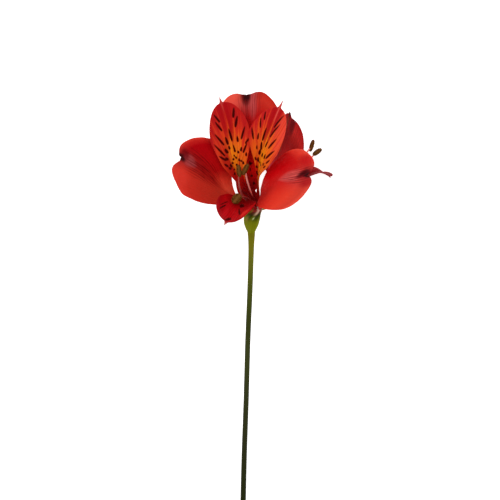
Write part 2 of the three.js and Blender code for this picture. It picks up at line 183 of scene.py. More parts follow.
def geometry_tree(name, inputs):
    """An empty geometry tree with named inputs, given as {name: its usual value}."""
    tree = bpy.data.node_groups.new(name, "GeometryNodeTree")
    tree.interface.new_socket("Geometry", in_out="INPUT", socket_type="NodeSocketGeometry")
    for label, value in inputs.items():
        kind = SOCKETS[type(value)]
        socket = tree.interface.new_socket(label, in_out="INPUT", socket_type=kind)
        if value is not None:
            socket.default_value = value
    tree.interface.new_socket("Geometry", in_out="OUTPUT", socket_type="NodeSocketGeometry")
    entry = tree.nodes.new("NodeGroupInput")
    return tree, entry.outputs


def end_tree(tree, geometry, material):
    """Realizes the instances, sets the material and closes the tree."""
    solid = grow(tree, "GeometryNodeRealizeInstances", {0: geometry})
    dressed = grow(tree, "GeometryNodeSetMaterial", {"Geometry": solid, "Material": material})
    grow(tree, "NodeGroupOutput", {0: dressed})


def put(name, data, material=None):
    """A new object in the scene, with its material if that is given."""
    piece = bpy.data.objects.new(name, data)
    bpy.context.scene.collection.objects.link(piece)
    if material:
        data.materials.append(material)
    return piece


def grown(name, source, tree, **values):
    """The plain mesh object that a geometry tree makes from a source mesh."""
    piece = put(name, source)
    modifier = piece.modifiers.new("growth", "NODES")
    modifier.node_group = tree
    for socket in tree.interface.items_tree:
        label = socket.name.replace(" ", "_")
        if socket.in_out == "INPUT" and label in values:
            modifier[socket.identifier] = values[label]
    depsgraph = bpy.context.evaluated_depsgraph_get()
    made = bpy.data.meshes.new_from_object(
        piece.evaluated_get(depsgraph), preserve_all_data_layers=True, depsgraph=depsgraph
    )
    piece.modifiers.clear()
    piece.data = made
    return piece


def carry(mesh, **numbers):
    """Stores a number for each point of a mesh under each given name."""
    for name, values in numbers.items():
        layer = mesh.attributes.new(name, "FLOAT", "POINT")
        layer.data.foreach_set("value", np.ascontiguousarray(values, np.float32).ravel())


def lines_mesh(name, lines):
    """Open lines with a radius and a tone: [(points in mm, radii in mm, tone), ...]."""
    points = np.concatenate([line for line, _, _ in lines])
    edges, first = [], 0
    for line, _, _ in lines:
        edges += [(first + step, first + step + 1) for step in range(len(line) - 1)]
        first += len(line)
    mesh = bpy.data.meshes.new(name)
    mesh.from_pydata(metres(points).tolist(), edges, [])
    carry(
        mesh, radius_here=np.concatenate([radii for _, radii, _ in lines]) / 1000,
        tone=np.concatenate([np.full(len(line), tone) for line, _, tone in lines]),
    )
    return mesh


# The tree that sweeps a ridged round section along lines.
SWEEP, sweep_in = geometry_tree(
    "swept tissue", {"Sides": 24, "Ridges": 8, "Ridge height": 0.02, "Material": None}
)
lines = grow(SWEEP, "GeometryNodeMeshToCurve", {"Mesh": sweep_in["Geometry"]})
factor = grow(SWEEP, "GeometryNodeSplineParameter").outputs["Factor"]
marked = grow(
    SWEEP, "GeometryNodeStoreNamedAttribute", {"Geometry": lines, "Name": "along", "Value": factor},
)
ring = grow(
    SWEEP, "GeometryNodeCurvePrimitiveCircle", {"Resolution": sweep_in["Sides"], "Radius": 1.0}
)
ridge = calc(SWEEP, "COSINE", times(SWEEP, factor, 2 * np.pi, sweep_in["Ridges"]))
reach = calc(SWEEP, "MULTIPLY_ADD", ridge, sweep_in["Ridge height"], 1.0)
position = grow(SWEEP, "GeometryNodeInputPosition")
scaled = grow(SWEEP, "ShaderNodeVectorMath", {0: position, "Scale": reach}, operation="SCALE")
ridged = grow(
    SWEEP, "GeometryNodeSetPosition", {"Geometry": ring.outputs["Curve"], "Position": scaled}
)
radius_here = grow(SWEEP, "GeometryNodeInputNamedAttribute", {"Name": "radius_here"})
swept = grow(
    SWEEP, "GeometryNodeCurveToMesh",
    {"Curve": marked, "Profile Curve": ridged, "Scale": radius_here, "Fill Caps": True},
)
smooth = grow(SWEEP, "GeometryNodeSetShadeSmooth", {"Geometry": swept})
end_tree(SWEEP, smooth, sweep_in["Material"])

stalk_skin, tree, shader = finish_of("stalk skin", 0.6, Specular_IOR_Level=0.05)
STALK_TONES = [
    (0.1, 36, 41, 12), (0.27, 44, 46, 23), (0.44, 52, 55, 27), (0.57, 60, 65, 32),
    (0.7, 56, 62, 20), (0.8, 74, 81, 23), (0.9, 108, 110, 28), (0.96, 126, 122, 18),
    (1.0, 124, 120, 12),
]
base = ramp(tree, reading(tree, "along"), STALK_TONES)
fibres = grain(tree, 60, (40, 1, 40), 4.0)
pale = coat(tree, base, fibres, 0.4, (150, 152, 70), "SOFT_LIGHT")
mottle = grain(tree, 260, (1, 0.4, 1), 5.0)
paint(tree, shader, coat(tree, pale, mottle, 0.25, (70, 60, 30), "MULTIPLY"))
emboss(tree, shader, fibres, 0.00012, 0.6)

steps = np.linspace(0, 1, 181)
stalk = grown(
    "stalk", lines_mesh("stalk", [(smoothly(STALK_LINE, steps), smoothly(STALK_RADII, steps), 0)]),
    SWEEP, Sides=36, Ridges=9, Ridge_height=0.022, Material=stalk_skin,
)
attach(stalk, "root")
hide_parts("stem")

# ---------------------------------------------------------------- cut end
# Where the stalk was cut across with a knife: a flat disc of paler, wet tissue with a thin green
# skin round it and small vessel bundles scattered in it. It is the end of the stalk itself.

CUT_THICKNESS = 0.12
CUT_DISH = 0.1  # how far the soft pith has shrunk back from the rim
CUT_RISE = CUT_THICKNESS * 1.15  # the crest just inside the rim
GUIDE = (0.3, 0.1, 1)  # a direction that sets where round bodies start to count their sides


def ring_faces(rows, sides):
    """The faces of a closed body whose points are its rings, one after another, then its ends."""
    last = (rows - 1) * sides
    faces = []
    for side in range(sides):
        after = (side + 1) % sides
        faces.append((rows * sides, after, side))
        faces.append((rows * sides + 1, last + side, last + after))
        for row in range(0, last, sides):
            a, b = row + side, row + after
            faces.append((a, b, b + sides, a + sides))
    return faces


def turned(centre, axis, profile, sides):
    """A closed body turned round an axis from (radius, height) points that start and end at 0."""
    axis = unit(np.asarray(axis, float))
    across = unit(np.cross(axis, GUIDE))
    up = np.cross(axis, across)
    angle = np.linspace(0, 2 * np.pi, sides, endpoint=False)[:, None]
    spokes = np.cos(angle) * across + np.sin(angle) * up
    rings = [centre + axis * height + radius * spokes for radius, height in profile[1:-1]]
    ends = [centre + axis * height for _, height in (profile[0], profile[-1])]
    return np.vstack([*rings, ends]), ring_faces(len(rings), sides)


def smooth_mesh(name, points, faces, **numbers):
    """A smooth mesh from points in mm, with the numbers that its points carry."""
    mesh = bpy.data.meshes.new(name)
    mesh.from_pydata(metres(points).tolist(), [], faces)
    mesh.shade_smooth()
    carry(mesh, **numbers)
    return mesh


cut_start, cut_next = np.array(STALK_LINE[0], float), smoothly(STALK_LINE, 0.01)
cut_axis = unit(cut_start - cut_next)
radius = STALK_RADII[0]
points, faces = turned(
    cut_start - cut_axis * CUT_THICKNESS,
    cut_axis,
    [
        (0, 0), (radius * 0.9, 0), (radius * 0.985, CUT_THICKNESS * 0.6),
        (radius * 0.96, CUT_THICKNESS * 1.1), (radius * 0.86, CUT_RISE),
        (radius * 0.6, CUT_RISE - CUT_DISH * 0.4), (radius * 0.3, CUT_RISE - CUT_DISH * 0.8),
        (0, CUT_RISE - CUT_DISH),
    ],
    36,
)
from_centre = np.linalg.norm(np.cross(points - cut_start, cut_axis), axis=1) / radius
cut_face, tree, shader = finish_of("cut tissue", 0.3, Specular_IOR_Level=0.4)
CUT_TONES = [
    (0.0, 176, 182, 120), (0.5, 150, 160, 88), (0.72, 110, 126, 52), (0.88, 70, 84, 24),
    (1.0, 44, 52, 14),
]
rings = ramp(tree, reading(tree, "from_centre"), CUT_TONES)
place = grow(tree, "ShaderNodeTexCoord").outputs["Object"]
bundles = grow(tree, "ShaderNodeTexVoronoi", {"Scale": 2600.0, "Vector": place}).outputs["Distance"]
spots = swell(tree, bundles, 0.32, 0.18)
paint(tree, shader, coat(tree, rings, spots, 0.5, (58, 62, 22)))
emboss(tree, shader, bundles, 0.00008, 0.5)
cut_end = put("cut_end", smooth_mesh("cut_end", points, faces, from_centre=from_centre), cut_face)
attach(cut_end, "root")
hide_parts("stem")

# ---------------------------------------------------------------- rear stalk
# The short second flower stalk, which parts from the joint and carries the rear bloom. It is the
# same green tissue as the stalk, thinner and smoother, and dives under the front bloom.

REAR_STALK_LINE = [(0.6, 8.6, 26.6), (1.9, 12, 25.2), (3.5, 15.8, 22.8), (4.7, 19.2, 20.6)]
REAR_STALK_RADII = (1.1, 1.05, 1.05, 1.2)
YOUNG = 0.97  # the place on the stalk whose olive it has
steps = np.linspace(0, 1, 41)
rear_stalk = grown(
    "rear_stalk",
    lines_mesh(
        "rear_stalk", [(smoothly(REAR_STALK_LINE, steps), smoothly(REAR_STALK_RADII, steps), 0)],
    ),
    SWEEP, Sides=28, Ridges=7, Ridge_height=0.02, Material=stalk_skin,
)
# The young tissue has the olive of the stalk's upper end all along.
tones_up = rear_stalk.data.attributes["along"].data
tones_up.foreach_set("value", np.full(len(tones_up), YOUNG, np.float32))
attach(rear_stalk, "root")
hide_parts("stem")

# ---------------------------------------------------------------- ovaries
# The swollen green seed chamber under each bloom, with six lengthwise ribs, paler than the grooves
# between them. Its top is a low mound, out of which the tepals' claws and the stamens grow.

OVARIES = {
    "front_ovary": {
        "line": [
            (0.5, 8, 26.4), (0.65, 11.3, 28), (0.88, 14.3, 30), (1.6, 16.9, 32.4),
            (3.0, 19.9, 35.6),
        ],
        "radii": (1.6, 3.1, 3.65, 3.4, 3.1), "bloom": ((2.9, 20.1, 36), (-0.33, 0.58, 0.74)),
    },
    "rear_ovary": {
        "line": [
            (4.4, 18.6, 20.9), (5.5, 20.3, 20.1), (6.7, 21.7, 19.4), (7.7, 22.8, 18.8),
            (8.8, 23.9, 18.1),
        ],
        "radii": (1.1, 2.6, 3.3, 3.45, 3.15), "bloom": ((9.1, 24.2, 18), (0.675, 0.675, -0.3)),
    },
}
RIBS = 6
RIB_HEIGHT = 0.1
SIDES = 72
SETTLE_FROM = 0.45  # the share of its height from which an ovary turns to face as its bloom does
DRY_STRIPS = (-3, 57, 117, 237, 297)  # degrees round the ovary
DRY_FROM = 0.82  # the share of its height at which they start
STAIN = ((155, 0.2), (0.6, 0.14))  # a dry stain: degrees round and spread, share up and spread
GLINT_HIGHLIGHT = ((110, 0.08), (0.73, 0.045))  # a painted glint highlight, likewise
MOUND = ((3.0, -0.42), (2.6, -0.02), (2.0, 0.16), (1.2, 0.2), (0.6, 0.05))
# Up the ovary: olive below, then a dark green band high up that is painted shade under the tepals,
# then red-brown on the mound.
FLESH_AND_SHADE_TONES = [
    (0.0, 118, 120, 8), (0.35, 122, 128, 8), (0.55, 112, 118, 14), (0.72, 64, 76, 5),
    (0.84, 46, 42, 5), (0.95, 96, 40, 24), (1.0, 150, 44, 38),
]
DRY_TONES = [(0.5, 150, 116, 62), (0.75, 176, 138, 90), (0.9, 206, 166, 140), (1.0, 224, 176, 160)]

ovary_skin, tree, shader = finish_of("ovary skin", 0.45, Specular_IOR_Level=0.01)
up_the_ovary = reading(tree, "along")
flesh_and_shade, dry_rib = ramp(tree, up_the_ovary, FLESH_AND_SHADE_TONES), ramp(tree, up_the_ovary, DRY_TONES)
ribbed = coat(tree, flesh_and_shade, swell(tree, reading(tree, "rib"), 0.4, 1.0), 0.25, (150, 152, 30))
lit = blend(tree, reading(tree, "dryness"), ribbed, dry_rib)
# A small pale fleck high on the ovary: a painted glint highlight.
lit = blend(tree, reading(tree, "drop"), lit, (222, 228, 160))
streaky = grain(tree, 500, (1, 0.35, 0.6), 4.0)
paint(tree, shader, coat(tree, lit, streaky, 0.35, (90, 84, 30), "MULTIPLY"))
emboss(tree, shader, streaky, 0.00015, 0.6)

mound_radii, mound_heights = np.array(MOUND).T
t = np.linspace(0, 1, 49)
settle = (np.clip((t - SETTLE_FROM) / (1 - SETTLE_FROM), 0, 1) ** 2)[:, None]
along = np.concatenate([t, np.ones(len(MOUND))])[:, None]
angle = np.linspace(0, 2 * np.pi, SIDES, endpoint=False)[None]
crest_here = 0.5 + 0.5 * np.cos(RIBS * angle)
strip = sum(np.exp(35 * (np.cos(angle - np.radians(place)) - 1)) for place in DRY_STRIPS)
strip = strip * np.clip((along - DRY_FROM) / 0.08, 0, 1)
stain, drop = (
    np.exp(-(((angle - np.radians(round_it)) / wide) ** 2) - ((along - up_it) / high) ** 2)
    for (round_it, wide), (up_it, high) in (STAIN, GLINT_HIGHLIGHT)
)
fade = np.sin(np.pi * np.clip(along * 1.02, 0, 1)) ** 0.6

for name, ovary in OVARIES.items():
    base, facing = (np.array(values, float) for values in ovary["bloom"])
    facing = unit(facing)
    centre = smoothly(ovary["line"], t)
    run = unit(np.gradient(centre, axis=0))
    run = unit(run * (1 - settle) + facing * settle)
    centre = np.vstack([centre, base + facing * mound_heights[:, None]])
    run = np.vstack([run, np.repeat(facing[None], len(MOUND), 0)])
    radii = np.concatenate([smoothly(ovary["radii"], t), mound_radii])
    across = unit(np.cross(run, GUIDE))
    up = np.cross(across, run)
    reach = radii[:, None] * (1 + RIB_HEIGHT * fade * (crest_here - 0.45))
    rings = centre[:, None] + reach[..., None] * (
        np.cos(angle)[..., None] * across[:, None] + np.sin(angle)[..., None] * up[:, None]
    )
    mesh = smooth_mesh(
        name, np.vstack([rings.reshape(-1, 3), centre[:1], base[None]]),
        [(face[0], *face[:0:-1]) for face in ring_faces(len(centre), SIDES)],
        along=np.append(np.repeat(along, SIDES), [0, 1]),
        rib=np.append(np.tile(crest_here, len(centre)), [0, 0]),
        dryness=np.append(strip + 0.5 * stain, [0, 0]), drop=np.append(drop, [0, 0]),
    )
    piece = put(name, mesh, ovary_skin)
    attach(piece, "root")
    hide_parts("stem")

# ---------------------------------------------------------------- front outer tepals
# The front bloom's three broad outer tepals: thin, soft red blades on narrow claws, notched at the
# tip, each with a dusky patch down its middle that ends in a small dark, hard point. Fine veins run
# up each blade from the claw and fan out to its rim.

BLADE_THICKNESS = 0.6
RIM_SHARE = 0.4  # the rim's thickness as a share of the middle's
MIDRIB_STEPS = 60
CROWDING = 1.15  # how far a blade's points crowd towards its midrib
RIM_POWER, TIP_POWER = 5, 14  # how late a blade thins towards its rim and its tip
STREAK_SOFTNESS = 0.16  # mm


def bloom_frame(base, axis, top):
    """Where a bloom starts, the way it faces, its upward and its sideways direction."""
    facing = unit(np.array(axis, float))
    top = np.array(top, float)
    upward = unit(top - top.dot(facing) * facing)
    return np.array(base, float), facing, upward, np.cross(upward, facing)


def radial(bloom, degrees):
    angle = np.radians(np.asarray(degrees, float))[..., None]
    return np.cos(angle) * bloom[2] + np.sin(angle) * bloom[3]


def midrib(bloom, shape):
    """The midrib's points, with the way it runs, its inner face and its right side at each."""
    s = np.linspace(0, 1, MIDRIB_STEPS + 1)
    outward = radial(bloom, smoothly(shape["azimuth"], s))
    lean = np.radians(smoothly(shape["opening"], s))[:, None]
    along = np.cos(lean) * bloom[1] + np.sin(lean) * outward
    inner = np.sin(lean) * bloom[1] - np.cos(lean) * outward
    turn = np.radians(smoothly(shape["roll"], s))[:, None]
    face = np.cos(turn) * inner + np.sin(turn) * np.cross(along, inner)
    start = bloom[0] + radial(bloom, shape["claw"]) * shape["ring"]
    steps = (along[1:] + along[:-1]) / 2 * shape["length"] / MIDRIB_STEPS
    points = np.concatenate([[start], start + np.cumsum(steps, 0)])
    return points, along, face, np.cross(along, face)


def sided(value, v):
    """A number, or one for the left and one for the right side, as it holds at v."""
    return np.where(v < 0, *np.broadcast_to(value, 2))


def tip_reach(shape, v):
    """How much of the midrib's length the tip reaches at v, from -1 (left) to 1 (right)."""
    edge = np.minimum(np.abs(v), 1)
    shoulder = sided(shape["round"], v) * (1 - np.sqrt(1 - edge**2))
    swing = np.sin(np.pi * edge ** sided(shape["skew"], v))
    lobes = sided(shape["notch"], v) * swing * np.sqrt(1 - edge)
    return 1 - shoulder + lobes + shape["point"] * np.exp(-((edge / shape["spike"]) ** 2))


def blade_surface(bloom, shape, t, v):
    """Points of the blade's middle surface, its normals and the distances from the midrib."""
    points, along, face, right = midrib(bloom, shape)
    s = t * tip_reach(shape, v)
    place = np.minimum(s, 1) * MIDRIB_STEPS
    index = np.minimum(place.astype(int), MIDRIB_STEPS - 1)
    f = (place - index)[..., None]
    middle = points[index] * (1 - f) + points[index + 1] * f
    middle = middle + along[index + 1] * (np.maximum(s - 1, 0) * shape["length"])[..., None]
    face = unit(face[index] * (1 - f) + face[index + 1] * f)
    right = unit(right[index] * (1 - f) + right[index + 1] * f)
    widths = [smoothly(shape[side], t, True) for side in ("left", "right")]
    across = v * np.where(v < 0, *widths)
    cup = smoothly(shape["cup"], s)
    cup = np.where(cup == 0, 1e-4, cup)
    bend = cup * across
    depth, width = shape["channel"]
    fold = depth * np.sqrt(np.sin(np.pi * np.minimum(s, 1)).clip(0))
    fold = fold * np.exp(-((across / width) ** 2))
    wave, waves, start = shape.get("ripple", (0, 1, 0))
    ruffle = wave * np.abs(v) ** 2.5 * t * np.sin(2 * np.pi * waves * t + start + 2.1 * np.sign(v))
    lift = (1 - np.cos(bend)) / cup - fold + ruffle
    surface = middle + right * (np.sin(bend) / cup)[..., None] + face * lift[..., None]
    slope = np.tan(bend) + 2 * across * fold / width**2
    return surface, unit(face - right * slope[..., None]), across


def blade_mesh(name, bloom, shape, rows, columns, marks=()):
    """A tepal as a closed thin blade that carries its own coordinates and any painted streaks."""
    t = np.linspace(0, 1, rows + 1)[:, None]
    x = np.linspace(-1, 1, columns + 1)[None]
    v = np.sin(np.pi / 2 * np.sign(x) * np.abs(x) ** CROWDING)
    t, v = np.broadcast_arrays(t, v)
    surface, normal, across = blade_surface(bloom, shape, t, v)
    rim = (1 - np.abs(v) ** RIM_POWER) * (1 - t**TIP_POWER)
    half = (BLADE_THICKNESS / 2 * (RIM_SHARE + (1 - RIM_SHARE) * rim))[..., None]
    points = np.concatenate([surface + normal * half, surface - normal * half]).reshape(-1, 3)
    row_length, size = columns + 1, (rows + 1) * (columns + 1)
    a = (np.arange(rows)[:, None] * row_length + np.arange(columns)[None]).ravel()
    b, c, d = a + 1, a + 1 + row_length, a + row_length
    edge = np.concatenate(
        [
            np.arange(columns), np.arange(rows) * row_length + columns,
            rows * row_length + np.arange(columns, 0, -1), np.arange(rows, 0, -1) * row_length,
        ]
    )
    after = np.roll(edge, -1)
    faces = np.concatenate(
        [
            np.stack([a, b, c, d], 1), np.stack([a + size, d + size, c + size, b + size], 1),
            np.stack([edge, edge + size, after + size, after], 1),
        ]
    )
    streak = np.zeros_like(t)
    for streak_here in marks:
        streak = np.maximum(streak, mark(bloom, shape, surface, *streak_here))
    v, t, streak = (np.tile(values.ravel(), 2) for values in (v, t, streak))
    inside = np.repeat([1.0, 0.0], size)
    mesh = smooth_mesh(
        name, points, faces.tolist(), across=v, along=t, streak=streak * inside, inside=inside
    )
    layer = mesh.uv_layers.new(name="blade")
    corners = np.empty(len(mesh.loops), np.int32)
    mesh.loops.foreach_get("vertex_index", corners)
    uv = np.stack([v / 2 + 0.5, t], 1)[corners]
    layer.data.foreach_set("uv", uv.astype(np.float32).ravel())
    return mesh


def mark(bloom, shape, surface, t_from, v_from, t_to, v_to, width):
    """How dark a streak is at each point: it starts pointed and ends bluntly."""
    ends, _, _ = blade_surface(bloom, shape, np.array([t_from, t_to]), np.array([v_from, v_to]))
    run = ends[1] - ends[0]
    reach = np.linalg.norm(run)
    along = ((surface - ends[0]) @ run) / reach**2
    inside = np.clip(along, 0, 1)
    aside = np.linalg.norm(surface - ends[0] - inside[..., None] * run, axis=-1)
    room = width * 1.25 * inside**0.6 * (1 - inside) ** 0.35
    return np.clip((room - aside) / STREAK_SOFTNESS + 0.5, 0, 1)


# The tree that sinks a blade's veins into both its faces and raises small blisters on it.
VEINS, veins_in = geometry_tree(
    "veined blade",
    {
        "Veins": 24.0, "Vein depth": 0.00004, "Blister": 0.0001, "Blister scale": 260.0,
        "Seed": 1.0, "Material": None,
    },
)


def named(tree, name):
    return grow(tree, "GeometryNodeInputNamedAttribute", {"Name": name}).outputs[0]


v_here, t_here = named(VEINS, "across"), named(VEINS, "along")
wander = grow(
    VEINS, "ShaderNodeTexNoise",
    {"W": calc(VEINS, "MULTIPLY_ADD", v_here, 3.0, veins_in["Seed"]), "Scale": 2.0, "Detail": 1.0},
    noise_dimensions="1D",
)
spread = calc(VEINS, "MULTIPLY_ADD", wander.outputs["Fac"], 0.06, v_here)
comb = calc(VEINS, "SINE", times(VEINS, spread, times(VEINS, veins_in["Veins"], np.pi)))
crest = calc(VEINS, "POWER", calc(VEINS, "ABSOLUTE", comb), 3.0)
to_edge = calc(VEINS, "POWER", calc(VEINS, "ABSOLUTE", v_here), 8.0)
to_tip = calc(VEINS, "POWER", t_here, 12.0)
edge_fade, tip_fade = (calc(VEINS, "SUBTRACT", 1.0, reached) for reached in (to_edge, to_tip))
vein = times(VEINS, crest, edge_fade, tip_fade, veins_in["Vein depth"], -1.0)
lump = grow(VEINS, "ShaderNodeTexNoise", {"Scale": veins_in["Blister scale"], "Detail": 2.0})
lumps = times(VEINS, calc(VEINS, "SUBTRACT", lump.outputs["Fac"], 0.5), veins_in["Blister"])
both_faces = calc(VEINS, "MULTIPLY_ADD", named(VEINS, "inside"), 2.0, -1.0)
lift = calc(VEINS, "ADD", vein, times(VEINS, lumps, both_faces))
normal = grow(VEINS, "GeometryNodeInputNormal")
shift = grow(VEINS, "ShaderNodeVectorMath", {0: normal, "Scale": lift}, operation="SCALE")
raised = grow(VEINS, "GeometryNodeSetPosition", {"Geometry": veins_in["Geometry"], "Offset": shift})
end_tree(VEINS, raised, veins_in["Material"])


def tepal(name, bloom, shape, rows, columns, skin, marks=(), **growth):
    """One tepal: its blade, grown with veins and blisters."""
    mesh = blade_mesh(name, bloom, shape, rows, columns, marks)
    return grown(name + "_blade", mesh, VEINS, Material=skin, **growth)


CORAL = (232, 92, 72)
CRIMSON = (158, 4, 9)
WINE = (122, 6, 6)
INK = (52, 12, 14)


def petal_finish(name):
    return finish_of(
        name, 0.5, Specular_IOR_Level=0.015, Subsurface_Weight=0.08, Subsurface_Scale=0.0015,
        Subsurface_Radius=(1.0, 0.2, 0.1),
    )


def three_tones(tree, across, along, left, middle, right, centre=0.0, spread=0.75):
    """Colours run up a blade's left side, its middle and its right side, blended between them."""
    left, middle, right = (ramp(tree, along, stops) for stops in (left, middle, right))
    inner = blend(tree, swell(tree, across, centre - spread, centre), left, middle)
    return blend(tree, swell(tree, across, centre, centre + spread), inner, right)


def spot(tree, across, along, v, t, width, length):
    """A soft round patch at one place of a blade."""
    dv = calc(tree, "DIVIDE", calc(tree, "SUBTRACT", across, v), width)
    dt = calc(tree, "DIVIDE", calc(tree, "SUBTRACT", along, t), length)
    square = calc(tree, "MULTIPLY_ADD", dv, dv, times(tree, dt, dt))
    return swell(tree, square, 1.0, 0.0)


def strip_up(tree, off, wide, narrow, along, start, full):
    """A soft strip up a blade's middle: 0 from wide outwards, and 0 up to start."""
    return times(tree, swell(tree, off, wide, narrow), swell(tree, along, start, full))


def vein_lines(tree, across, along, count):
    """Fine lines that run up a blade, a little uneven, as 0 between them and 1 on them."""
    drift = grow(tree, "ShaderNodeCombineXYZ", {0: times(tree, across, 5.0), 1: along}).outputs[0]
    wave = grain(tree, 2.0, (1, 1.5, 1), 2.0, drift)
    place = calc(tree, "MULTIPLY_ADD", across, count, times(tree, wave, 2.0))
    comb = calc(tree, "ABSOLUTE", calc(tree, "SINE", times(tree, place, np.pi)))
    broken = grain(tree, 3.0, (3, 1.2, 1), 2.0, drift)
    return times(tree, swell(tree, comb, 0.5, 0.95), swell(tree, broken, 0.36, 0.56))


def both_sides(tree, shader, lines_here, back, front):
    """The back's colour on a blade's outside, the front's inside it, and its veins in relief."""
    paint(tree, shader, blend(tree, reading(tree, "inside"), back, front))
    emboss(tree, shader, lines_here, 0.00005, 0.4)


def petal_skin(
    name, left, middle, right, centre=0.0, spread=0.75, spots=(), veins=12, vein_tone=WINE,
    vein_share=0.3, vein_heart=(0.0, 0.6, 1.5, 1.5), rib=(0.03, WINE, 0.0, 0.5), tip=INK,
    tip_width=0.1, tip_start=0.93, backs=CRIMSON, back_share=0.55, streaks=False,
):
    """A tepal's finish: tones up its sides, soft patches, veins, a rib, a hard tip and streaks."""
    material, tree, shader = petal_finish(name)
    across, along = reading(tree, "across"), reading(tree, "along")
    cloud = grain(tree, 110)
    bias = calc(tree, "MULTIPLY_ADD", calc(tree, "SUBTRACT", cloud, 0.5), 0.18, across)
    colour = three_tones(tree, bias, along, left, middle, right, centre, spread)
    for *place, tone, share in spots:
        colour = coat(tree, colour, spot(tree, bias, along, *place), share, tone)
    lines_here = vein_lines(tree, across, along, veins)
    veined = times(tree, lines_here, spot(tree, across, along, *vein_heart))
    colour = coat(tree, colour, veined, vein_share, vein_tone)
    off = calc(tree, "ABSOLUTE", across)
    width, tone, share, start = rib
    on_rib = strip_up(tree, off, width, width * 0.4, along, start, start + 0.2)
    colour = coat(tree, colour, on_rib, share, tone)
    tip_full = 0.6 + 0.4 * tip_start
    wedge = strip_up(tree, off, tip_width, tip_width * 0.3, along, tip_start, tip_full)
    colour = blend(tree, wedge, colour, tip)
    clouds = swell(tree, cloud, 0.45, 0.75)
    colour = coat(tree, colour, clouds, 0.3, (206, 190, 190), "MULTIPLY")
    front = blend(tree, reading(tree, "streak"), colour, STREAK) if streaks else colour
    both_sides(tree, shader, lines_here, blend(tree, back_share, colour, backs), front)
    return material


STREAK = (66, 2, 2)

OUTER_SHAPE = dict(
    ring=2.6, cup=(0.15, 0.06, 0.01, 0, 0), roll=(0, 0, 0), round=0.24, notch=0.1, skew=0.7,
    point=0.02, spike=0.08, channel=(0, 1), ripple=(0.35, 1.6, 0.4),
)
FRONT_BLOOM = bloom_frame((2.9, 20.1, 36), (-0.33, 0.58, 0.74), (-0.09, 0.99, 0.1))
FRONT_OUTER = {
    "front_tepal_top": dict(
        OUTER_SHAPE, claw=-22, azimuth=(6, 0, -2), opening=(32, 43, 48, 50, 65), length=47.7,
        left=(2, 3.2, 3.8, 4.4, 6.5, 9.5, 12.5, 15, 17.4),
        right=(3.4, 2.4, 0.2, 2, 2.6, 2.9, 3.6, 4.9, 6.5, 8, 9.5, 11, 12.5, 13.6, 14.6, 15.5, 16.4),
        round=(0.31, 0.25), notch=(0.095, 0.085), skew=1.1, spike=0.1,
    ),
    "front_tepal_left": dict(
        OUTER_SHAPE, claw=-120, azimuth=(-119, -62, -80), opening=(33, 31, 33, 43, 48),
        roll=(0, 19, -4), length=40, left=(1.2, 2.5, 8.6, 13.6, 15.4),
        right=(1.3, 3.2, 2.8, 4.5, 8, 12.4, 14.8, 16.4, 17.6), cup=(0.15, 0.06, 0, -0.01, -0.01),
        round=(0.22, 0.21), notch=(0.14, 0.13), skew=(1.15, 0.7), point=0.035,
    ),
    "front_tepal_right": dict(
        OUTER_SHAPE, claw=120, azimuth=(118, 94, 95), opening=(19, 27, 50, 80, 68),
        roll=(24, 10, 0, 3, 10), length=44, left=(1.3, 2.9, 4.3, 5.5, 8.8, 12.9, 15.6, 16.6, 17),
        right=(1.4, 3.2, 8.6, 13.8, 15.3), cup=(0.15, 0.06, 0, -0.01, -0.01), notch=0.14,
    ),
}
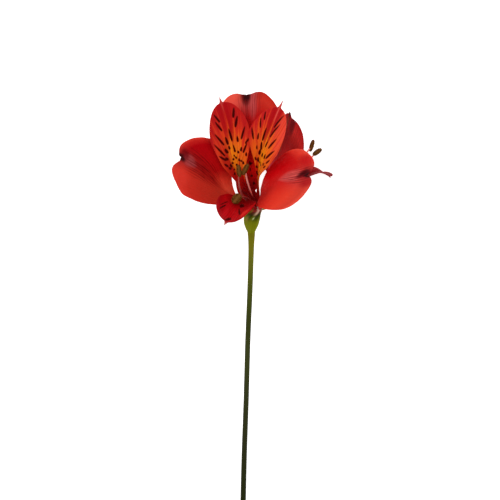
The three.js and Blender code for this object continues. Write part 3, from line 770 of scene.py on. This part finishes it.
# The tones up each blade's sides and its lighter and darker patches hold the tepal's own red
# together with painted light and shade from how the blade curves: paler coral where a lobe or rim
# faces the light, deeper crimson where the blade turns away or lies under another tepal.
FRONT_OUTER_SKINS = {
    # Top tepal: the deep crimson low down, where it shows between the inner tepals, is partly
    # painted shade; the coral left lobe at the tip is partly painted light.
    "front_tepal_top": petal_skin(
        "top tepal skin",
        left=[
            (0.16, 140, 6, 8), (0.3, 190, 12, 8), (0.5, 176, 4, 8), (0.76, 184, 14, 16),
            (0.9, 212, 62, 54), (1.0, *CORAL),
        ],
        middle=[
            (0.16, 136, 6, 8), (0.3, 190, 12, 8), (0.5, 180, 5, 8), (0.78, 188, 20, 24),
            (0.9, 172, 60, 58), (1.0, 110, 26, 26),
        ],
        right=[
            (0.16, 140, 6, 8), (0.3, 190, 12, 8), (0.5, 176, 4, 8), (0.8, 186, 24, 22),
            (0.93, 194, 46, 34), (1.0, 182, 38, 26),
        ],
        centre=-0.02, spread=0.55,
        spots=[
            (-0.45, 0.97, 0.4, 0.2, (230, 84, 68), 0.8), (0.2, 0.92, 0.16, 0.2, (186, 72, 72), 0.8),
            (-0.02, 1.0, 0.2, 0.13, (54, 8, 10), 0.95),
        ],
        veins=14, vein_heart=(0.1, 0.88, 0.5, 0.22), vein_share=0.6,
        rib=(0.03, (90, 14, 20), 0.3, 0.68), tip_width=0.12, streaks=True,
    ),
    # Left tepal: the paler left lobes are partly painted light; the darker middle and right side
    # are partly the dusky patch and partly painted shade.
    "front_tepal_left": petal_skin(
        "left tepal skin",
        left=[
            (0.2, 164, 38, 28), (0.35, 180, 46, 30), (0.6, 176, 38, 26), (0.8, 184, 40, 28),
            (0.93, 202, 50, 38), (1.0, 206, 56, 42),
        ],
        middle=[
            (0.2, 164, 40, 28), (0.4, 192, 52, 34), (0.55, 162, 24, 18), (0.7, 142, 12, 12),
            (0.84, 144, 22, 22), (1.0, 150, 34, 34),
        ],
        right=[
            (0.2, 176, 46, 32), (0.36, 218, 72, 50), (0.47, 206, 52, 36), (0.58, 172, 12, 14),
            (0.9, 166, 3, 12), (0.96, 188, 32, 28), (1.0, 216, 64, 48),
        ],
        centre=0.03, spread=0.48,
        spots=[
            (0.02, 0.88, 0.24, 0.1, (160, 70, 72), 0.7),
            (0.16, 0.93, 0.2, 0.06, (104, 4, 12), 0.75),
            (-0.55, 0.93, 0.3, 0.2, (208, 54, 42), 0.5),
        ],
        veins=12, vein_heart=(0.1, 0.68, 0.62, 0.32), vein_share=0.9, vein_tone=(88, 2, 4),
        tip_width=0.15, tip_start=0.92,
    ),
    # Right tepal: the deep crimson along its upper left edge is partly painted shade; the paler
    # tones towards its tip are partly painted light.
    "front_tepal_right": petal_skin(
        "right tepal skin",
        left=[
            (0.16, 186, 52, 50), (0.34, 204, 46, 44), (0.46, 210, 8, 16), (0.66, 192, 4, 12),
            (0.8, 192, 20, 20), (0.9, 220, 56, 42), (1.0, 228, 70, 52),
        ],
        middle=[
            (0.16, 190, 50, 50), (0.34, 206, 34, 30), (0.5, 194, 22, 20), (0.66, 190, 26, 24),
            (0.82, 192, 50, 48), (0.95, 150, 26, 30), (1.0, 140, 28, 32),
        ],
        right=[
            (0.2, 176, 38, 38), (0.5, 172, 26, 22), (0.65, 204, 40, 27), (0.8, 214, 56, 38),
            (0.92, 200, 56, 42), (1.0, 220, 72, 54),
        ],
        spread=0.6,
        spots=[
            (-0.52, 0.92, 0.3, 0.12, (182, 14, 22), 0.85),
            (-0.08, 0.76, 0.26, 0.15, (208, 90, 86), 0.6),
            (0.26, 0.95, 0.16, 0.12, (168, 24, 28), 0.8), (-0.1, 0.91, 0.15, 0.1, (52, 4, 8), 0.97),
        ],
        veins=14, vein_heart=(-0.04, 0.84, 0.4, 0.2), vein_share=0.85, vein_tone=(96, 4, 14),
        tip_width=0.12, tip_start=0.93,
    ),
}
# Streaks: from and to as (share of the length, share of the half-width), then the width in mm.
CLAW_STREAKS = [
    (0.19, 0.04, 0.166, 0.55, 0.96), (0.381, -0.17, 0.341, -0.11, 0.82),
    (0.374, 0.0, 0.355, 0.1, 0.91), (0.322, -0.19, 0.285, -0.21, 0.43),
    (0.233, -0.26, 0.254, 0.03, 0.86),
]
for index, (name, shape) in enumerate(FRONT_OUTER.items()):
    piece = tepal(
        name, FRONT_BLOOM, shape, 150, 90, FRONT_OUTER_SKINS[name], () if index else CLAW_STREAKS,
        Veins=13.0, Vein_depth=0.0001, Blister=0.0004, Seed=3.1 + index,
    )
    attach(piece, "root")
    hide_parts(name)

# ---------------------------------------------------------------- front upper inner tepals
# The two upper inner tepals: narrower, pointed blades, folded along a raised rib that is pale
# partly in colour and partly by painted highlight, with painted shade in the fold on either side of
# it, red outside and glowing orange within, with dark streaks along their veins and a soft, pale
# curled tip.

INNER_SHAPE = dict(
    ring=1.6, cup=(0.25, 0.12, 0.04, 0, -0.03), roll=(0, 0, 0), round=0.33, notch=0, skew=1,
    point=0.05, spike=0.08, channel=(0.8, 1.6), ripple=(0.25, 1.4, 1.0),
)
FRONT_INNER = {
    "front_inner_upper_left": dict(
        INNER_SHAPE, claw=-60, azimuth=(-52, -6, -19), opening=(14, 30, 41, 46, 54), roll=(0, 1, 2),
        length=50, point=0.055, spike=0.05, left=(2.6, 3.5, 3.5, 2, 3.1, 5.2, 6.7, 8, 9),
        right=(1, 1.6, 1.5, 2.2, 3.5, 5.6, 7.6, 9.1, 10),
    ),
    "front_inner_upper_right": dict(
        INNER_SHAPE, claw=52, azimuth=(40, 48, 26), opening=(14, 22, 36, 50, 70), roll=(-4, 4, -3),
        length=51.5, left=(1, 1.4, 0.8, 0.6, 1.4, 2.9, 6.2, 9.2, 11),
        right=(1.2, 0.6, 0.1, 0.3, 2.1, 4.6, 7.4, 8.9, 9.8), point=0.07, spike=0.05,
    ),
}
STREAKS = {
    "front_inner_upper_left": [
        (0.968, -0.54, 0.849, -0.37, 0.78), (0.905, -0.6, 0.767, -0.4, 0.83),
        (0.857, -0.83, 0.649, -0.55, 0.83), (0.969, 0.5, 0.863, 0.39, 0.9),
        (0.909, 0.59, 0.784, 0.44, 0.96), (0.739, 0.04, 0.641, 0.16, 1.02),
        (0.896, 0.86, 0.725, 0.74, 0.78), (0.702, -0.32, 0.622, -0.27, 0.86),
        (0.718, 0.52, 0.668, 0.58, 0.84), (0.986, 1.0, 0.75, 0.91, 0.71),
        (0.614, 0.2, 0.56, 0.35, 0.78), (0.611, -0.24, 0.574, -0.24, 0.8),
        (0.801, 0.96, 0.644, 0.9, 0.78), (0.671, 0.8, 0.62, 0.79, 0.8),
        (0.869, -0.98, 0.581, -0.76, 0.78), (0.621, -0.56, 0.563, -0.5, 0.8),
        (0.522, 0.16, 0.5, 0.16, 0.7), (0.484, -0.06, 0.464, -0.09, 0.82),
        (0.507, 0.27, 0.5, 0.5, 0.88), (0.532, 0.71, 0.505, 0.73, 0.76),
        (0.551, 0.85, 0.534, 0.88, 0.7), (0.575, 0.94, 0.554, 0.97, 0.82),
        (0.468, -0.39, 0.445, -0.38, 0.82), (0.418, 0.11, 0.444, 0.52, 0.94),
        (0.489, -0.7, 0.448, -0.68, 0.82), (0.605, -0.97, 0.518, -0.9, 0.76),
        (0.518, -0.91, 0.459, -0.83, 0.76), (0.581, -0.79, 0.529, -0.71, 0.93),
        (0.735, -0.99, 0.554, -0.82, 0.82), (0.402, -0.39, 0.391, -0.46, 0.65),
        (0.384, -0.62, 0.376, -0.73, 0.7), (0.717, 0.98, 0.684, 0.99, 0.76),
        (0.625, -0.6, 0.563, -0.5, 1.04), (0.585, 0.26, 0.55, 0.35, 0.89),
        (0.59, 0.59, 0.572, 0.66, 0.82),
    ],
    "front_inner_upper_right": [
        (0.99, -0.61, 0.889, -0.54, 0.84), (0.947, -0.73, 0.826, -0.67, 0.78),
        (0.952, -0.97, 0.8, -0.95, 0.9), (0.807, -0.29, 0.686, -0.44, 0.78),
        (0.986, 0.42, 0.833, 0.22, 0.8), (0.911, 0.46, 0.744, 0.24, 0.86),
        (0.795, -0.74, 0.739, -0.79, 0.83), (0.836, 0.68, 0.687, 0.57, 0.83),
        (0.707, 0.22, 0.626, 0.13, 0.96), (0.685, -0.48, 0.605, -0.5, 0.86),
        (0.622, -0.56, 0.572, -0.64, 0.8), (0.703, -0.85, 0.669, -0.87, 0.8),
        (0.654, -0.98, 0.597, -0.96, 1.03), (0.571, -0.78, 0.518, -0.79, 0.89),
        (0.477, -0.3, 0.453, 0.21, 0.82), (0.467, 0.41, 0.528, 0.82, 0.94),
        (0.6, 0.86, 0.599, 0.92, 0.82), (0.61, 0.87, 0.617, 0.9, 0.7),
        (0.531, -0.95, 0.498, -0.95, 1.09), (0.464, -0.95, 0.478, -1.0, 0.88),
        (0.414, -0.91, 0.321, -0.09, 0.82), (0.478, 0.87, 0.518, 0.97, 0.7),
        (0.612, 0.97, 0.684, 0.98, 0.58), (0.635, 0.64, 0.595, 0.71, 0.88),
        (0.824, 0.9, 0.642, 0.81, 0.88), (0.57, 0.14, 0.522, 0.11, 1.09),
        (0.62, -0.58, 0.581, -0.71, 0.94), (0.758, 0.96, 0.678, 0.95, 0.65),
    ],
}
SUN = (250, 150, 12)
PALE_TIP = (188, 134, 130)


def inner_skin(
    name, left, middle, right, centre=0.0, glow=(0.0, 0.5, 0.9, 0.25), rib_share=0.5, rib_start=0.85
):
    """The upper inner tepals' finish: orange fingers in a red blade, painted shade in two grooves
    beside the rib, and a pale rib that is partly painted highlight.
    """
    material, tree, shader = petal_finish(name)
    across, along = reading(tree, "across"), reading(tree, "along")
    threads = grow(tree, "ShaderNodeCombineXYZ", {0: times(tree, across, 9.0), 1: along}).outputs[0]
    fingers = grain(tree, 1.0, (1, 1.4, 1), 2.0, threads)
    reached = calc(tree, "MULTIPLY_ADD", calc(tree, "SUBTRACT", fingers, 0.5), -0.7, along)
    colour = three_tones(tree, across, reached, left, middle, right, centre)
    hot = times(tree, spot(tree, across, along, *glow), swell(tree, fingers, 0.4, 0.58))
    colour = coat(tree, colour, hot, 0.8, SUN)
    lines_here = vein_lines(tree, across, along, 8)
    colour = coat(tree, colour, lines_here, 0.45, (176, 24, 16))
    off = calc(tree, "ABSOLUTE", across)
    # Painted shade on the fold's two walls, on either side of the rib.
    from_groove = calc(tree, "ABSOLUTE", calc(tree, "SUBTRACT", off, 0.19))
    painted_groove_shade = strip_up(tree, from_groove, 0.2, 0.03, along, 0.55, 0.78)
    colour = coat(tree, colour, painted_groove_shade, 0.85, (162, 10, 18))
    # The pale rib: partly its own paler colour, partly painted highlight on the raised crest.
    rib = strip_up(tree, off, 0.06, 0.015, along, rib_start, rib_start + 0.12)
    colour = coat(tree, colour, rib, rib_share, (222, 104, 96))
    colour = blend(tree, strip_up(tree, off, 0.1, 0.03, along, 0.97, 1.0), colour, PALE_TIP)
    front = blend(tree, reading(tree, "streak"), colour, STREAK)
    both_sides(tree, shader, lines_here, blend(tree, 0.55, colour, CRIMSON), front)
    return material


FRONT_INNER_SKINS = {
    "front_inner_upper_left": inner_skin(
        "upper left inner skin",
        left=[
            (0.3, 146, 8, 6), (0.44, 162, 20, 12), (0.56, 176, 34, 16), (0.68, 202, 54, 24),
            (0.78, 202, 50, 30), (0.95, 170, 22, 24),
        ],
        middle=[
            (0.28, 160, 6, 5), (0.35, 180, 24, 8), (0.42, 226, 104, 22), (0.56, 236, 120, 24),
            (0.66, 222, 84, 24), (0.78, 198, 42, 24), (0.9, 166, 18, 22),
        ],
        right=[
            (0.3, 160, 6, 5), (0.42, 188, 20, 8), (0.5, 220, 96, 22), (0.6, 230, 110, 24),
            (0.7, 222, 78, 24), (0.8, 204, 46, 26), (0.95, 176, 24, 24),
        ],
        centre=0.1, glow=(0.05, 0.48, 0.75, 0.16), rib_share=0.26, rib_start=0.84,
    ),
    "front_inner_upper_right": inner_skin(
        "upper right inner skin",
        left=[
            (0.3, 150, 8, 6), (0.46, 190, 20, 10), (0.54, 212, 64, 14), (0.62, 226, 98, 20),
            (0.72, 222, 84, 24), (0.86, 206, 52, 28), (0.97, 182, 26, 26),
        ],
        middle=[
            (0.22, 150, 6, 6), (0.28, 196, 56, 10), (0.34, 240, 124, 18), (0.54, 244, 134, 20),
            (0.7, 228, 96, 24), (0.82, 206, 52, 26), (0.93, 178, 24, 26),
        ],
        right=[
            (0.2, 150, 6, 6), (0.3, 210, 80, 14), (0.42, 244, 128, 16), (0.68, 230, 98, 22),
            (0.8, 224, 74, 38), (0.97, 222, 68, 50),
        ],
        centre=-0.05, glow=(0.1, 0.46, 1.1, 0.26), rib_share=0.4, rib_start=0.78,
    ),
}
for index, (name, shape) in enumerate(FRONT_INNER.items()):
    piece = tepal(
        name, FRONT_BLOOM, shape, 290, 130, FRONT_INNER_SKINS[name], STREAKS[name], Veins=14.0,
        Vein_depth=0.00006, Blister=0.0002, Seed=7.3 + index,
    )
    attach(piece, "root")
    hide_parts(name)

# ---------------------------------------------------------------- front lower inner tepal
# The third inner tepal points down: a smaller, darker, crimson blade, cupped like a spoon, with few
# dark dashes and a small pale tip.

LOWER_SHAPE = dict(
    INNER_SHAPE, claw=180, azimuth=(180, 168, 204), opening=(20, 24, 43, 67, 89),
    roll=(0, -10, -28, -12, -4), length=38.5, left=(0.9, 1, 1.2, 1.5, 2.8, 5, 6.6, 7.4, 8),
    right=(0.9, 1.1, 1.5, 2.2, 3.4, 5, 6.7, 8.3, 9.7), round=0.3,
    cup=(0.25, 0.12, 0.08, 0.05, 0.02), channel=(0.5, 1.6),
)
LOWER_STREAKS = [
    (0.952, 0.71, 0.821, 0.65, 0.68), (0.913, 0.81, 0.763, 0.73, 0.5),
    (0.762, -0.2, 0.907, -0.5, 0.68), (0.64, -0.21, 0.766, -0.4, 1.62),
    (0.99, 0.13, 0.941, -0.14, 1.17),
]
lower = tepal(
    "front_inner_lower", FRONT_BLOOM, LOWER_SHAPE, 150, 90,
    petal_skin(
        "lower inner skin",
        left=[
            (0.3, 110, 2, 5), (0.6, 118, 2, 6), (0.78, 138, 3, 7), (0.92, 176, 12, 16),
            (1.0, 162, 4, 10),
        ],
        middle=[
            (0.3, 124, 2, 5), (0.65, 140, 2, 6), (0.8, 176, 4, 12), (0.92, 172, 4, 12),
            (1.0, 158, 34, 38),
        ],
        right=[
            (0.3, 124, 2, 5), (0.65, 142, 2, 6), (0.8, 164, 2, 9), (0.92, 148, 3, 10),
            (1.0, 162, 22, 28),
        ],
        spots=[
            (0.35, 0.9, 0.18, 0.1, (184, 14, 24), 0.7),
            (-0.7, 0.92, 0.22, 0.06, (216, 42, 34), 0.8),
        ],
        veins=8, vein_heart=(0.0, 0.8, 1.2, 0.5), vein_share=0.5, vein_tone=(96, 2, 3),
        tip=PALE_TIP, tip_start=0.97, backs=(150, 10, 14), streaks=True,
    ),
    LOWER_STREAKS,
    Veins=14.0, Vein_depth=0.00006, Blister=0.0003, Seed=9.7,
)
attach(lower, "root")
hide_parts("front_inner_lower")

# ---------------------------------------------------------------- rear tepals
# The rear bloom's six tepals, seen from the side and behind: darker and duller than the front ones,
# the outer ones broad with a brown-green rib, the inner ones narrow and pointed.

REAR_BLOOM = bloom_frame((9.1, 24.2, 18), (0.675, 0.675, -0.3), (-0.55, 0.76, 0.47))
REAR_TEPALS = {
    "rear_tepal_top": dict(
        OUTER_SHAPE, claw=0, azimuth=(-2, -4, -5), opening=(32, 32, 34, 36, 40), length=36,
        left=(1.3, 2.4, 9.5, 15.5, 16.5), right=(1.3, 2.3, 6, 8, 8), round=0.42, notch=(0, 0.07),
        point=0.06,
    ),
    "rear_tepal_near": dict(
        OUTER_SHAPE, claw=-120, azimuth=(-117, -46, -30), opening=(44, 84, 88, 90, 92), length=28,
        left=(1.3, 1.9, 4, 5, 5.5), right=(1.3, 2.2, 6, 8.5, 9),
    ),
    "rear_tepal_far": dict(
        OUTER_SHAPE, claw=120, azimuth=(118, 38, 32), opening=(34, 44, 56, 86, 112),
        roll=(0, 70, 70), length=41, left=(1.3, 1.7, 4.5, 7.5, 8.5),
        right=(1.3, 1.5, 2.2, 3.9, 6.5),
    ),
    "rear_inner_near": dict(
        INNER_SHAPE, claw=-60, azimuth=(-64, -80, -76), opening=(26, 50, 60, 60, 60), length=23,
        left=(0.9, 1.5, 3.4, 5, 5.5), right=(0.8, 1.3, 3, 4.6, 5.2),
    ),
    "rear_inner_far": dict(
        INNER_SHAPE, claw=60, azimuth=(64, 36, 24), opening=(14, 20, 24, 26, 26), length=29,
        left=(0.9, 1.6, 3.4, 5.4, 6), right=(0.9, 1.5, 3, 4.6, 5.2),
    ),
    "rear_inner_lower": dict(
        INNER_SHAPE, claw=180, azimuth=(180, 177, 168), opening=(8, 6, 12, 38, 80), length=35.5,
        left=(0.9, 1.6, 3.5, 5.5, 6), right=(0.9, 1.8, 4, 7.5, 8),
        cup=(0.2, 0.12, 0.06, 0.05, 0.05),
    ),
}
rear_outer_skin = petal_skin(
    "rear outer skin",
    left=[
        (0.3, 216, 44, 38), (0.56, 176, 22, 22), (0.7, 146, 16, 16), (0.78, 162, 26, 22),
        (0.87, 190, 38, 34), (1.0, 160, 20, 22),
    ],
    middle=[(0.3, 170, 30, 34), (0.6, 142, 16, 18), (0.75, 122, 14, 18), (1.0, 134, 20, 26)],
    right=[(0.3, 184, 44, 54), (0.6, 172, 30, 40), (1.0, 142, 22, 30)], spread=0.4,
    spots=[(-0.24, 0.94, 0.17, 0.18, (64, 8, 14), 0.85)], rib=(0.035, (104, 60, 42), 0.8, 0.35),
    veins=10, vein_share=0.4, vein_heart=(0.0, 0.7, 1.3, 0.5), backs=(176, 26, 28), back_share=0.1,
)
rear_inner_skin = petal_skin(
    "rear inner skin", left=[(0.3, *WINE), (1.0, 160, 20, 26)],
    middle=[(0.3, *WINE), (0.8, 130, 10, 16), (1.0, 138, 24, 30)],
    right=[(0.3, *WINE), (1.0, 150, 28, 32)], veins=8, vein_share=0.4,
    vein_heart=(0.0, 0.7, 1.3, 0.5), tip=(140, 84, 90), tip_start=0.97, backs=(126, 16, 20),
    back_share=0.3,
)
for index, (name, shape) in enumerate(REAR_TEPALS.items()):
    skin = rear_inner_skin if "inner" in name else rear_outer_skin
    piece = tepal(
        name, REAR_BLOOM, shape, 110, 64, skin, Veins=16.0, Vein_depth=0.00006, Blister=0.0003,
        Seed=12.9 + index,
    )
    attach(piece, "root")
    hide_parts(name)

# ---------------------------------------------------------------- stamens
# Six stamens and a style to each bloom: slender glossy rose filaments on a small disc, three of
# them long, with open brown anthers dusted with pollen, and three short with closed dark ones. The
# style stands in their middle and parts into three lobes.

DISC = ((0, -0.2), (0.9, -0.2), (0.95, 0.3), (0.85, 0.65), (0.4, 0.72), (0, 0.72))
FILAMENT_RING = 0.42
OPEN_ANTHER = (5.6, 2.3, 1.7)  # length, width and depth in mm
SLIM_ANTHER = (5.8, 2, 1.5)
SPENT_ANTHER = (5, 4, 2)
CLOSED_ANTHER = (4.2, 1.3, 1.2)
# Each stamen: the tip and the way its anther lies, both along the bloom's axis, towards its top and
# to its side, the anther's size, how far the filament sags to the two sides and how pale it is,
# which is partly its own rose and partly painted highlight.
STAMENS = {
    "front": [
        ((24.7, 1, 0.2), (0.58, 0.82, -0.1), OPEN_ANTHER, (-5.4, -2.2), 0.2),
        ((23.9, 2.2, 2.7), (0.6, 0.75, 0.6), OPEN_ANTHER, (-0.4, -0.3), 1.0),
        ((23.7, -13.8, 1.7), (0.1, 0.75, 0.5), SPENT_ANTHER, (0, 0), 0.15),
        ((15, -3.4, 0.6), (1, -0.3, 0), CLOSED_ANTHER, (0, 0), 0.0),
        ((14, -1.2, -0.6), (1, 0, 0.2), CLOSED_ANTHER, (0, 0), 0.0),
        ((12, -1.2, -1.8), (1, -0.1, -0.2), CLOSED_ANTHER, (0, 0), 0.0),
    ],
    "rear": [
        ((31.75, 3, 1.1), (0.86, 0.48, 0.1), SLIM_ANTHER, (0, 0), 1.0),
        ((31.45, -0.4, -0.7), (0.96, -0.2, 0.1), OPEN_ANTHER, (0, 0), 1.0),
        ((25, -3, 2.6), (0.9, -0.4, 0.2), OPEN_ANTHER, (0, 0), 1.0),
        ((15, -2.6, -1.6), (1, -0.3, 0), CLOSED_ANTHER, (0, 0), 0.0),
        ((13.5, 1.4, 1.6), (1, 0, 0.2), CLOSED_ANTHER, (0, 0), 0.0),
        ((12, 1.2, -1.8), (1, -0.1, -0.2), CLOSED_ANTHER, (0, 0), 0.0),
    ],
}
STYLE_LENGTH, LOBE_LENGTH = 16, 2.2
FILAMENT_RADII = (0.38, 0.4, 0.4, 0.32)
STYLE_RADII, LOBE_RADII = (0.4, 0.35, 0.3), (0.25, 0.25, 0.16)

filament_skin, tree, shader = finish_of(
    "filament skin", 0.45, Specular_IOR_Level=0.04, Subsurface_Weight=0.15, Subsurface_Scale=0.001,
    Subsurface_Radius=(1.0, 0.4, 0.3),
)
# Up a filament: deep red at its foot, then pale pink that is partly the filament's rose and partly
# painted highlight in place of its gloss.
ROSE_AND_HIGHLIGHT_TONES = [
    (0.0, 130, 8, 12), (0.28, 150, 24, 26), (0.42, 252, 126, 116), (0.7, 255, 180, 166),
    (1.0, 252, 140, 128),
]
rose = ramp(tree, reading(tree, "along"), ROSE_AND_HIGHLIGHT_TONES)
# Each stamen's paleness, partly painted highlight, lifts the deep red towards the pale pink.
rose = blend(tree, reading(tree, "tone"), (136, 3, 6), rose)
speckle = grain(tree, 900)
paint(tree, shader, coat(tree, rose, speckle, 0.1, (220, 140, 140), "MULTIPLY"))
emboss(tree, shader, speckle, 0.00005, 0.4)

anther_skin, tree, shader = finish_of("anther skin", 0.85, Specular_IOR_Level=0.05)
wall = ramp(
    tree, grain(tree, 1400, detail=4.0), [(0.3, 50, 26, 4), (0.6, 96, 50, 10), (0.8, 122, 76, 26)],
)
edged = coat(tree, wall, reading(tree, "seam"), 0.6, (128, 84, 42))
dusted = blend(tree, reading(tree, "pollen"), edged, (112, 82, 30))
paint(tree, shader, blend(tree, reading(tree, "closed"), dusted, (130, 4, 8)))
emboss(tree, shader, grain(tree, 2600, detail=2.0), 0.00012, 0.8)

# The tree that dusts anthers with grains of pollen.
POLLEN, pollen_in = geometry_tree(
    "pollen", {"Density": 9e6, "Grain radius": 0.00007, "Seed": 4, "Material": None}
)
open_wall = calc(POLLEN, "SUBTRACT", 1.0, named(POLLEN, "closed"))
scattered = grow(
    POLLEN,
    "GeometryNodeDistributePointsOnFaces",
    {
        "Mesh": pollen_in["Geometry"], "Density": times(POLLEN, open_wall, pollen_in["Density"]),
        "Seed": pollen_in["Seed"],
    },
)
ball = grow(
    POLLEN, "GeometryNodeMeshIcoSphere", {"Radius": pollen_in["Grain radius"], "Subdivisions": 1}
)
marked = grow(
    POLLEN, "GeometryNodeStoreNamedAttribute", {"Geometry": ball, "Name": "pollen", "Value": 1.0}
)
size = grow(
    POLLEN, "FunctionNodeRandomValue", {"Seed": pollen_in["Seed"], 2: 0.6, 3: 1.3},
    data_type="FLOAT",
)
grains = grow(
    POLLEN,
    "GeometryNodeInstanceOnPoints",
    {
        "Points": scattered.outputs["Points"], "Instance": marked,
        "Rotation": scattered.outputs["Rotation"], "Scale": size.outputs[1],
    },
)
joined = grow(POLLEN, "GeometryNodeJoinGeometry", {0: grains})
feed(POLLEN, joined.inputs[0], pollen_in["Geometry"])
end_tree(POLLEN, joined, pollen_in["Material"])


def in_bloom(bloom, parts):
    """A point from its distances along the bloom's axis, towards its top and to its side."""
    return bloom[0] + parts[0] * bloom[1] + parts[1] * bloom[2] + parts[2] * bloom[3]


def filament_line(bloom, root, tip, sag, steps=28):
    """A smooth curve from the disc to the tip, pulled aside by its sag."""
    near = (tip[0] * 0.35, root[1] + tip[1] * 0.1 + sag[0], root[2] + tip[2] * 0.1 + sag[1])
    far = (tip[0] * 0.72, tip[1] * 0.5 + sag[0], tip[2] * 0.5 + sag[1])
    start, low, high, end = (in_bloom(bloom, place) for place in (root, near, far, tip))
    t = np.linspace(0, 1, steps)[:, None]
    return (
        (1 - t) ** 3 * start + 3 * (1 - t) ** 2 * t * low + 3 * (1 - t) * t**2 * high + t**3 * end
    )


def turn_y_to(direction):
    """The smallest turn that takes +Y to a direction, as a matrix."""
    y = np.array([0.0, 1.0, 0.0])
    axis, cosine = np.cross(y, direction), y.dot(direction)
    cross = np.array([[0, -axis[2], axis[1]], [axis[2], 0, -axis[0]], [-axis[1], axis[0], 0]])
    return np.eye(3) + cross + cross @ cross / (1 + cosine)


def anther_body(bloom, tip, lie, size, sides=36, rows=28):
    """Two plump pollen sacs side by side, with a seam between them on both faces."""
    length, width, depth = size
    polar = np.linspace(0, np.pi, rows + 1)[1:-1, None]
    angle = np.linspace(0, 2 * np.pi, sides, endpoint=False)[None]
    body = np.sin(polar) ** 0.75
    seam = np.exp(-((np.cos(angle) / 0.3) ** 2)) * np.ones_like(polar)
    aside = width / 2 * body * np.cos(angle)
    up = length / 2 * np.cos(polar) + 0 * angle
    out = depth / 2 * body * np.sin(angle) * (1 - 0.3 * seam)
    points = np.stack([aside, up, out], -1).reshape(-1, 3)
    points = np.vstack([points, [[0, length / 2, 0], [0, -length / 2, 0]]])
    direction = unit(lie[0] * bloom[1] + lie[1] * bloom[2] + lie[2] * bloom[3])
    points = points @ turn_y_to(direction).T + in_bloom(bloom, tip)
    return points, ring_faces(rows - 1, sides), np.append(seam, [0, 0])


for flower_name, bloom in (("front", FRONT_BLOOM), ("rear", REAR_BLOOM)):
    threads, bodies = [], []
    stamens = STAMENS[flower_name]
    for index, (tip, lie, size, sag, paleness_and_highlight) in enumerate(stamens):
        angle = 2 * np.pi * index / len(stamens)
        root = (0, FILAMENT_RING * np.cos(angle), FILAMENT_RING * np.sin(angle))
        line = filament_line(bloom, root, tip, sag)
        radii = smoothly(FILAMENT_RADII, np.linspace(0, 1, len(line)))
        threads.append((line, radii, paleness_and_highlight))
        bodies.append((*anther_body(bloom, tip, lie, size), size == CLOSED_ANTHER))
    steps = np.linspace(0, 1, 20)
    style = np.array([in_bloom(bloom, (STYLE_LENGTH * step, 0, 0)) for step in steps])
    threads.append((style, smoothly(STYLE_RADII, steps), 0.0))
    heights = STYLE_LENGTH - 0.5 + (LOBE_LENGTH + 0.5) * steps
    spread = LOBE_LENGTH * 0.4 * steps**1.5
    for lobe in range(3):
        angle = 2 * np.pi * lobe / 3
        arm = [
            in_bloom(bloom, (height, aside * np.cos(angle), aside * np.sin(angle)))
            for height, aside in zip(heights, spread)
        ]
        threads.append((np.array(arm), smoothly(LOBE_RADII, steps), 0.0))
    name = flower_name + "_filaments"
    filaments = grown(
        name, lines_mesh(name, threads), SWEEP, Sides=14, Ridges=3, Ridge_height=0.03,
        Material=filament_skin,
    )
    name = flower_name + "_disc"
    points, faces = turned(bloom[0], bloom[1], DISC, 24)
    dark = np.zeros(len(points))
    disc = put(name, smooth_mesh(name, points, faces, along=dark + 0.1, tone=dark), filament_skin)

    name = flower_name + "_anthers"
    faces, first = [], 0
    for points, body_faces, _, _ in bodies:
        faces += [tuple(first + corner for corner in face) for face in body_faces]
        first += len(points)
    mesh = smooth_mesh(
        name, np.vstack([body[0] for body in bodies]), faces,
        seam=np.concatenate([body[2] for body in bodies]),
        closed=np.concatenate([np.full(len(body[0]), float(body[3])) for body in bodies]),
        pollen=np.zeros(first),
    )
    anthers = grown(
        name, mesh, POLLEN, Density=7e6, Grain_radius=0.00009, Seed=5, Material=anther_skin
    )
    for piece in (filaments, disc, anthers):
        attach(piece, "root")
        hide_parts(flower_name + "_stamens")

# ---------------------------------------------------------------- studio
# A plain pale table under two soft lights in an evenly lit room, and a camera that looks straight
# down on the stem, as it lies with its blooms away from the viewer.

TABLE_GLOW = 0.65
ROOM_LIGHT = 0.66
EYE_PLACE = (-0.00119, 0.02887, 1.53991)  # straight above the origin of the drawing used here

table_mesh = bpy.data.meshes.new("table")
table_mesh.from_pydata([(-3, -3, 0), (3, -3, 0), (3, 3, 0), (-3, 3, 0)], [], [(0, 1, 2, 3)])
table_paint, tree, shader = finish_of("table paint", 0.9, Specular_IOR_Level=0.0)
fleck = grain(tree, 4, detail=2.0)
paint(tree, shader, ramp(tree, fleck, [(0.2, 250, 250, 250), (0.8, 253, 253, 253)]))
shader.inputs["Emission Color"].default_value = (1, 1, 1, 1)
shader.inputs["Emission Strength"].default_value = TABLE_GLOW
table = put("table", table_mesh, table_paint)

scene = bpy.context.scene
scene.view_settings.view_transform = "Standard"
world = bpy.data.worlds.new("soft room")
world.use_nodes = True
background = world.node_tree.nodes["Background"]
background.inputs["Color"].default_value = (1, 1, 1, 1)
background.inputs["Strength"].default_value = ROOM_LIGHT
scene.world = world


def softbox(name, location, size, power, target=(0, 0.06, 0.03)):
    light = bpy.data.lights.new(name, "AREA")
    light.shape = "DISK"
    light.size = size
    light.energy = power
    lamp = put(name, light)
    lamp.location = location
    aim = mathutils.Vector(target) - mathutils.Vector(location)
    lamp.rotation_mode = "QUATERNION"
    lamp.rotation_quaternion = aim.to_track_quat("-Z", "Y")


softbox("key", (-0.4, 0.5, 1.4), 0.8, 7.4)
softbox("fill", (0.7, -0.2, 1.4), 1.0, 3.4)

camera = bpy.data.cameras.new("camera")
camera.lens = 240
camera.sensor_width = 36
camera.clip_end = 20
eye = put("camera", camera)
eye.location = EYE_PLACE
scene.camera = eye
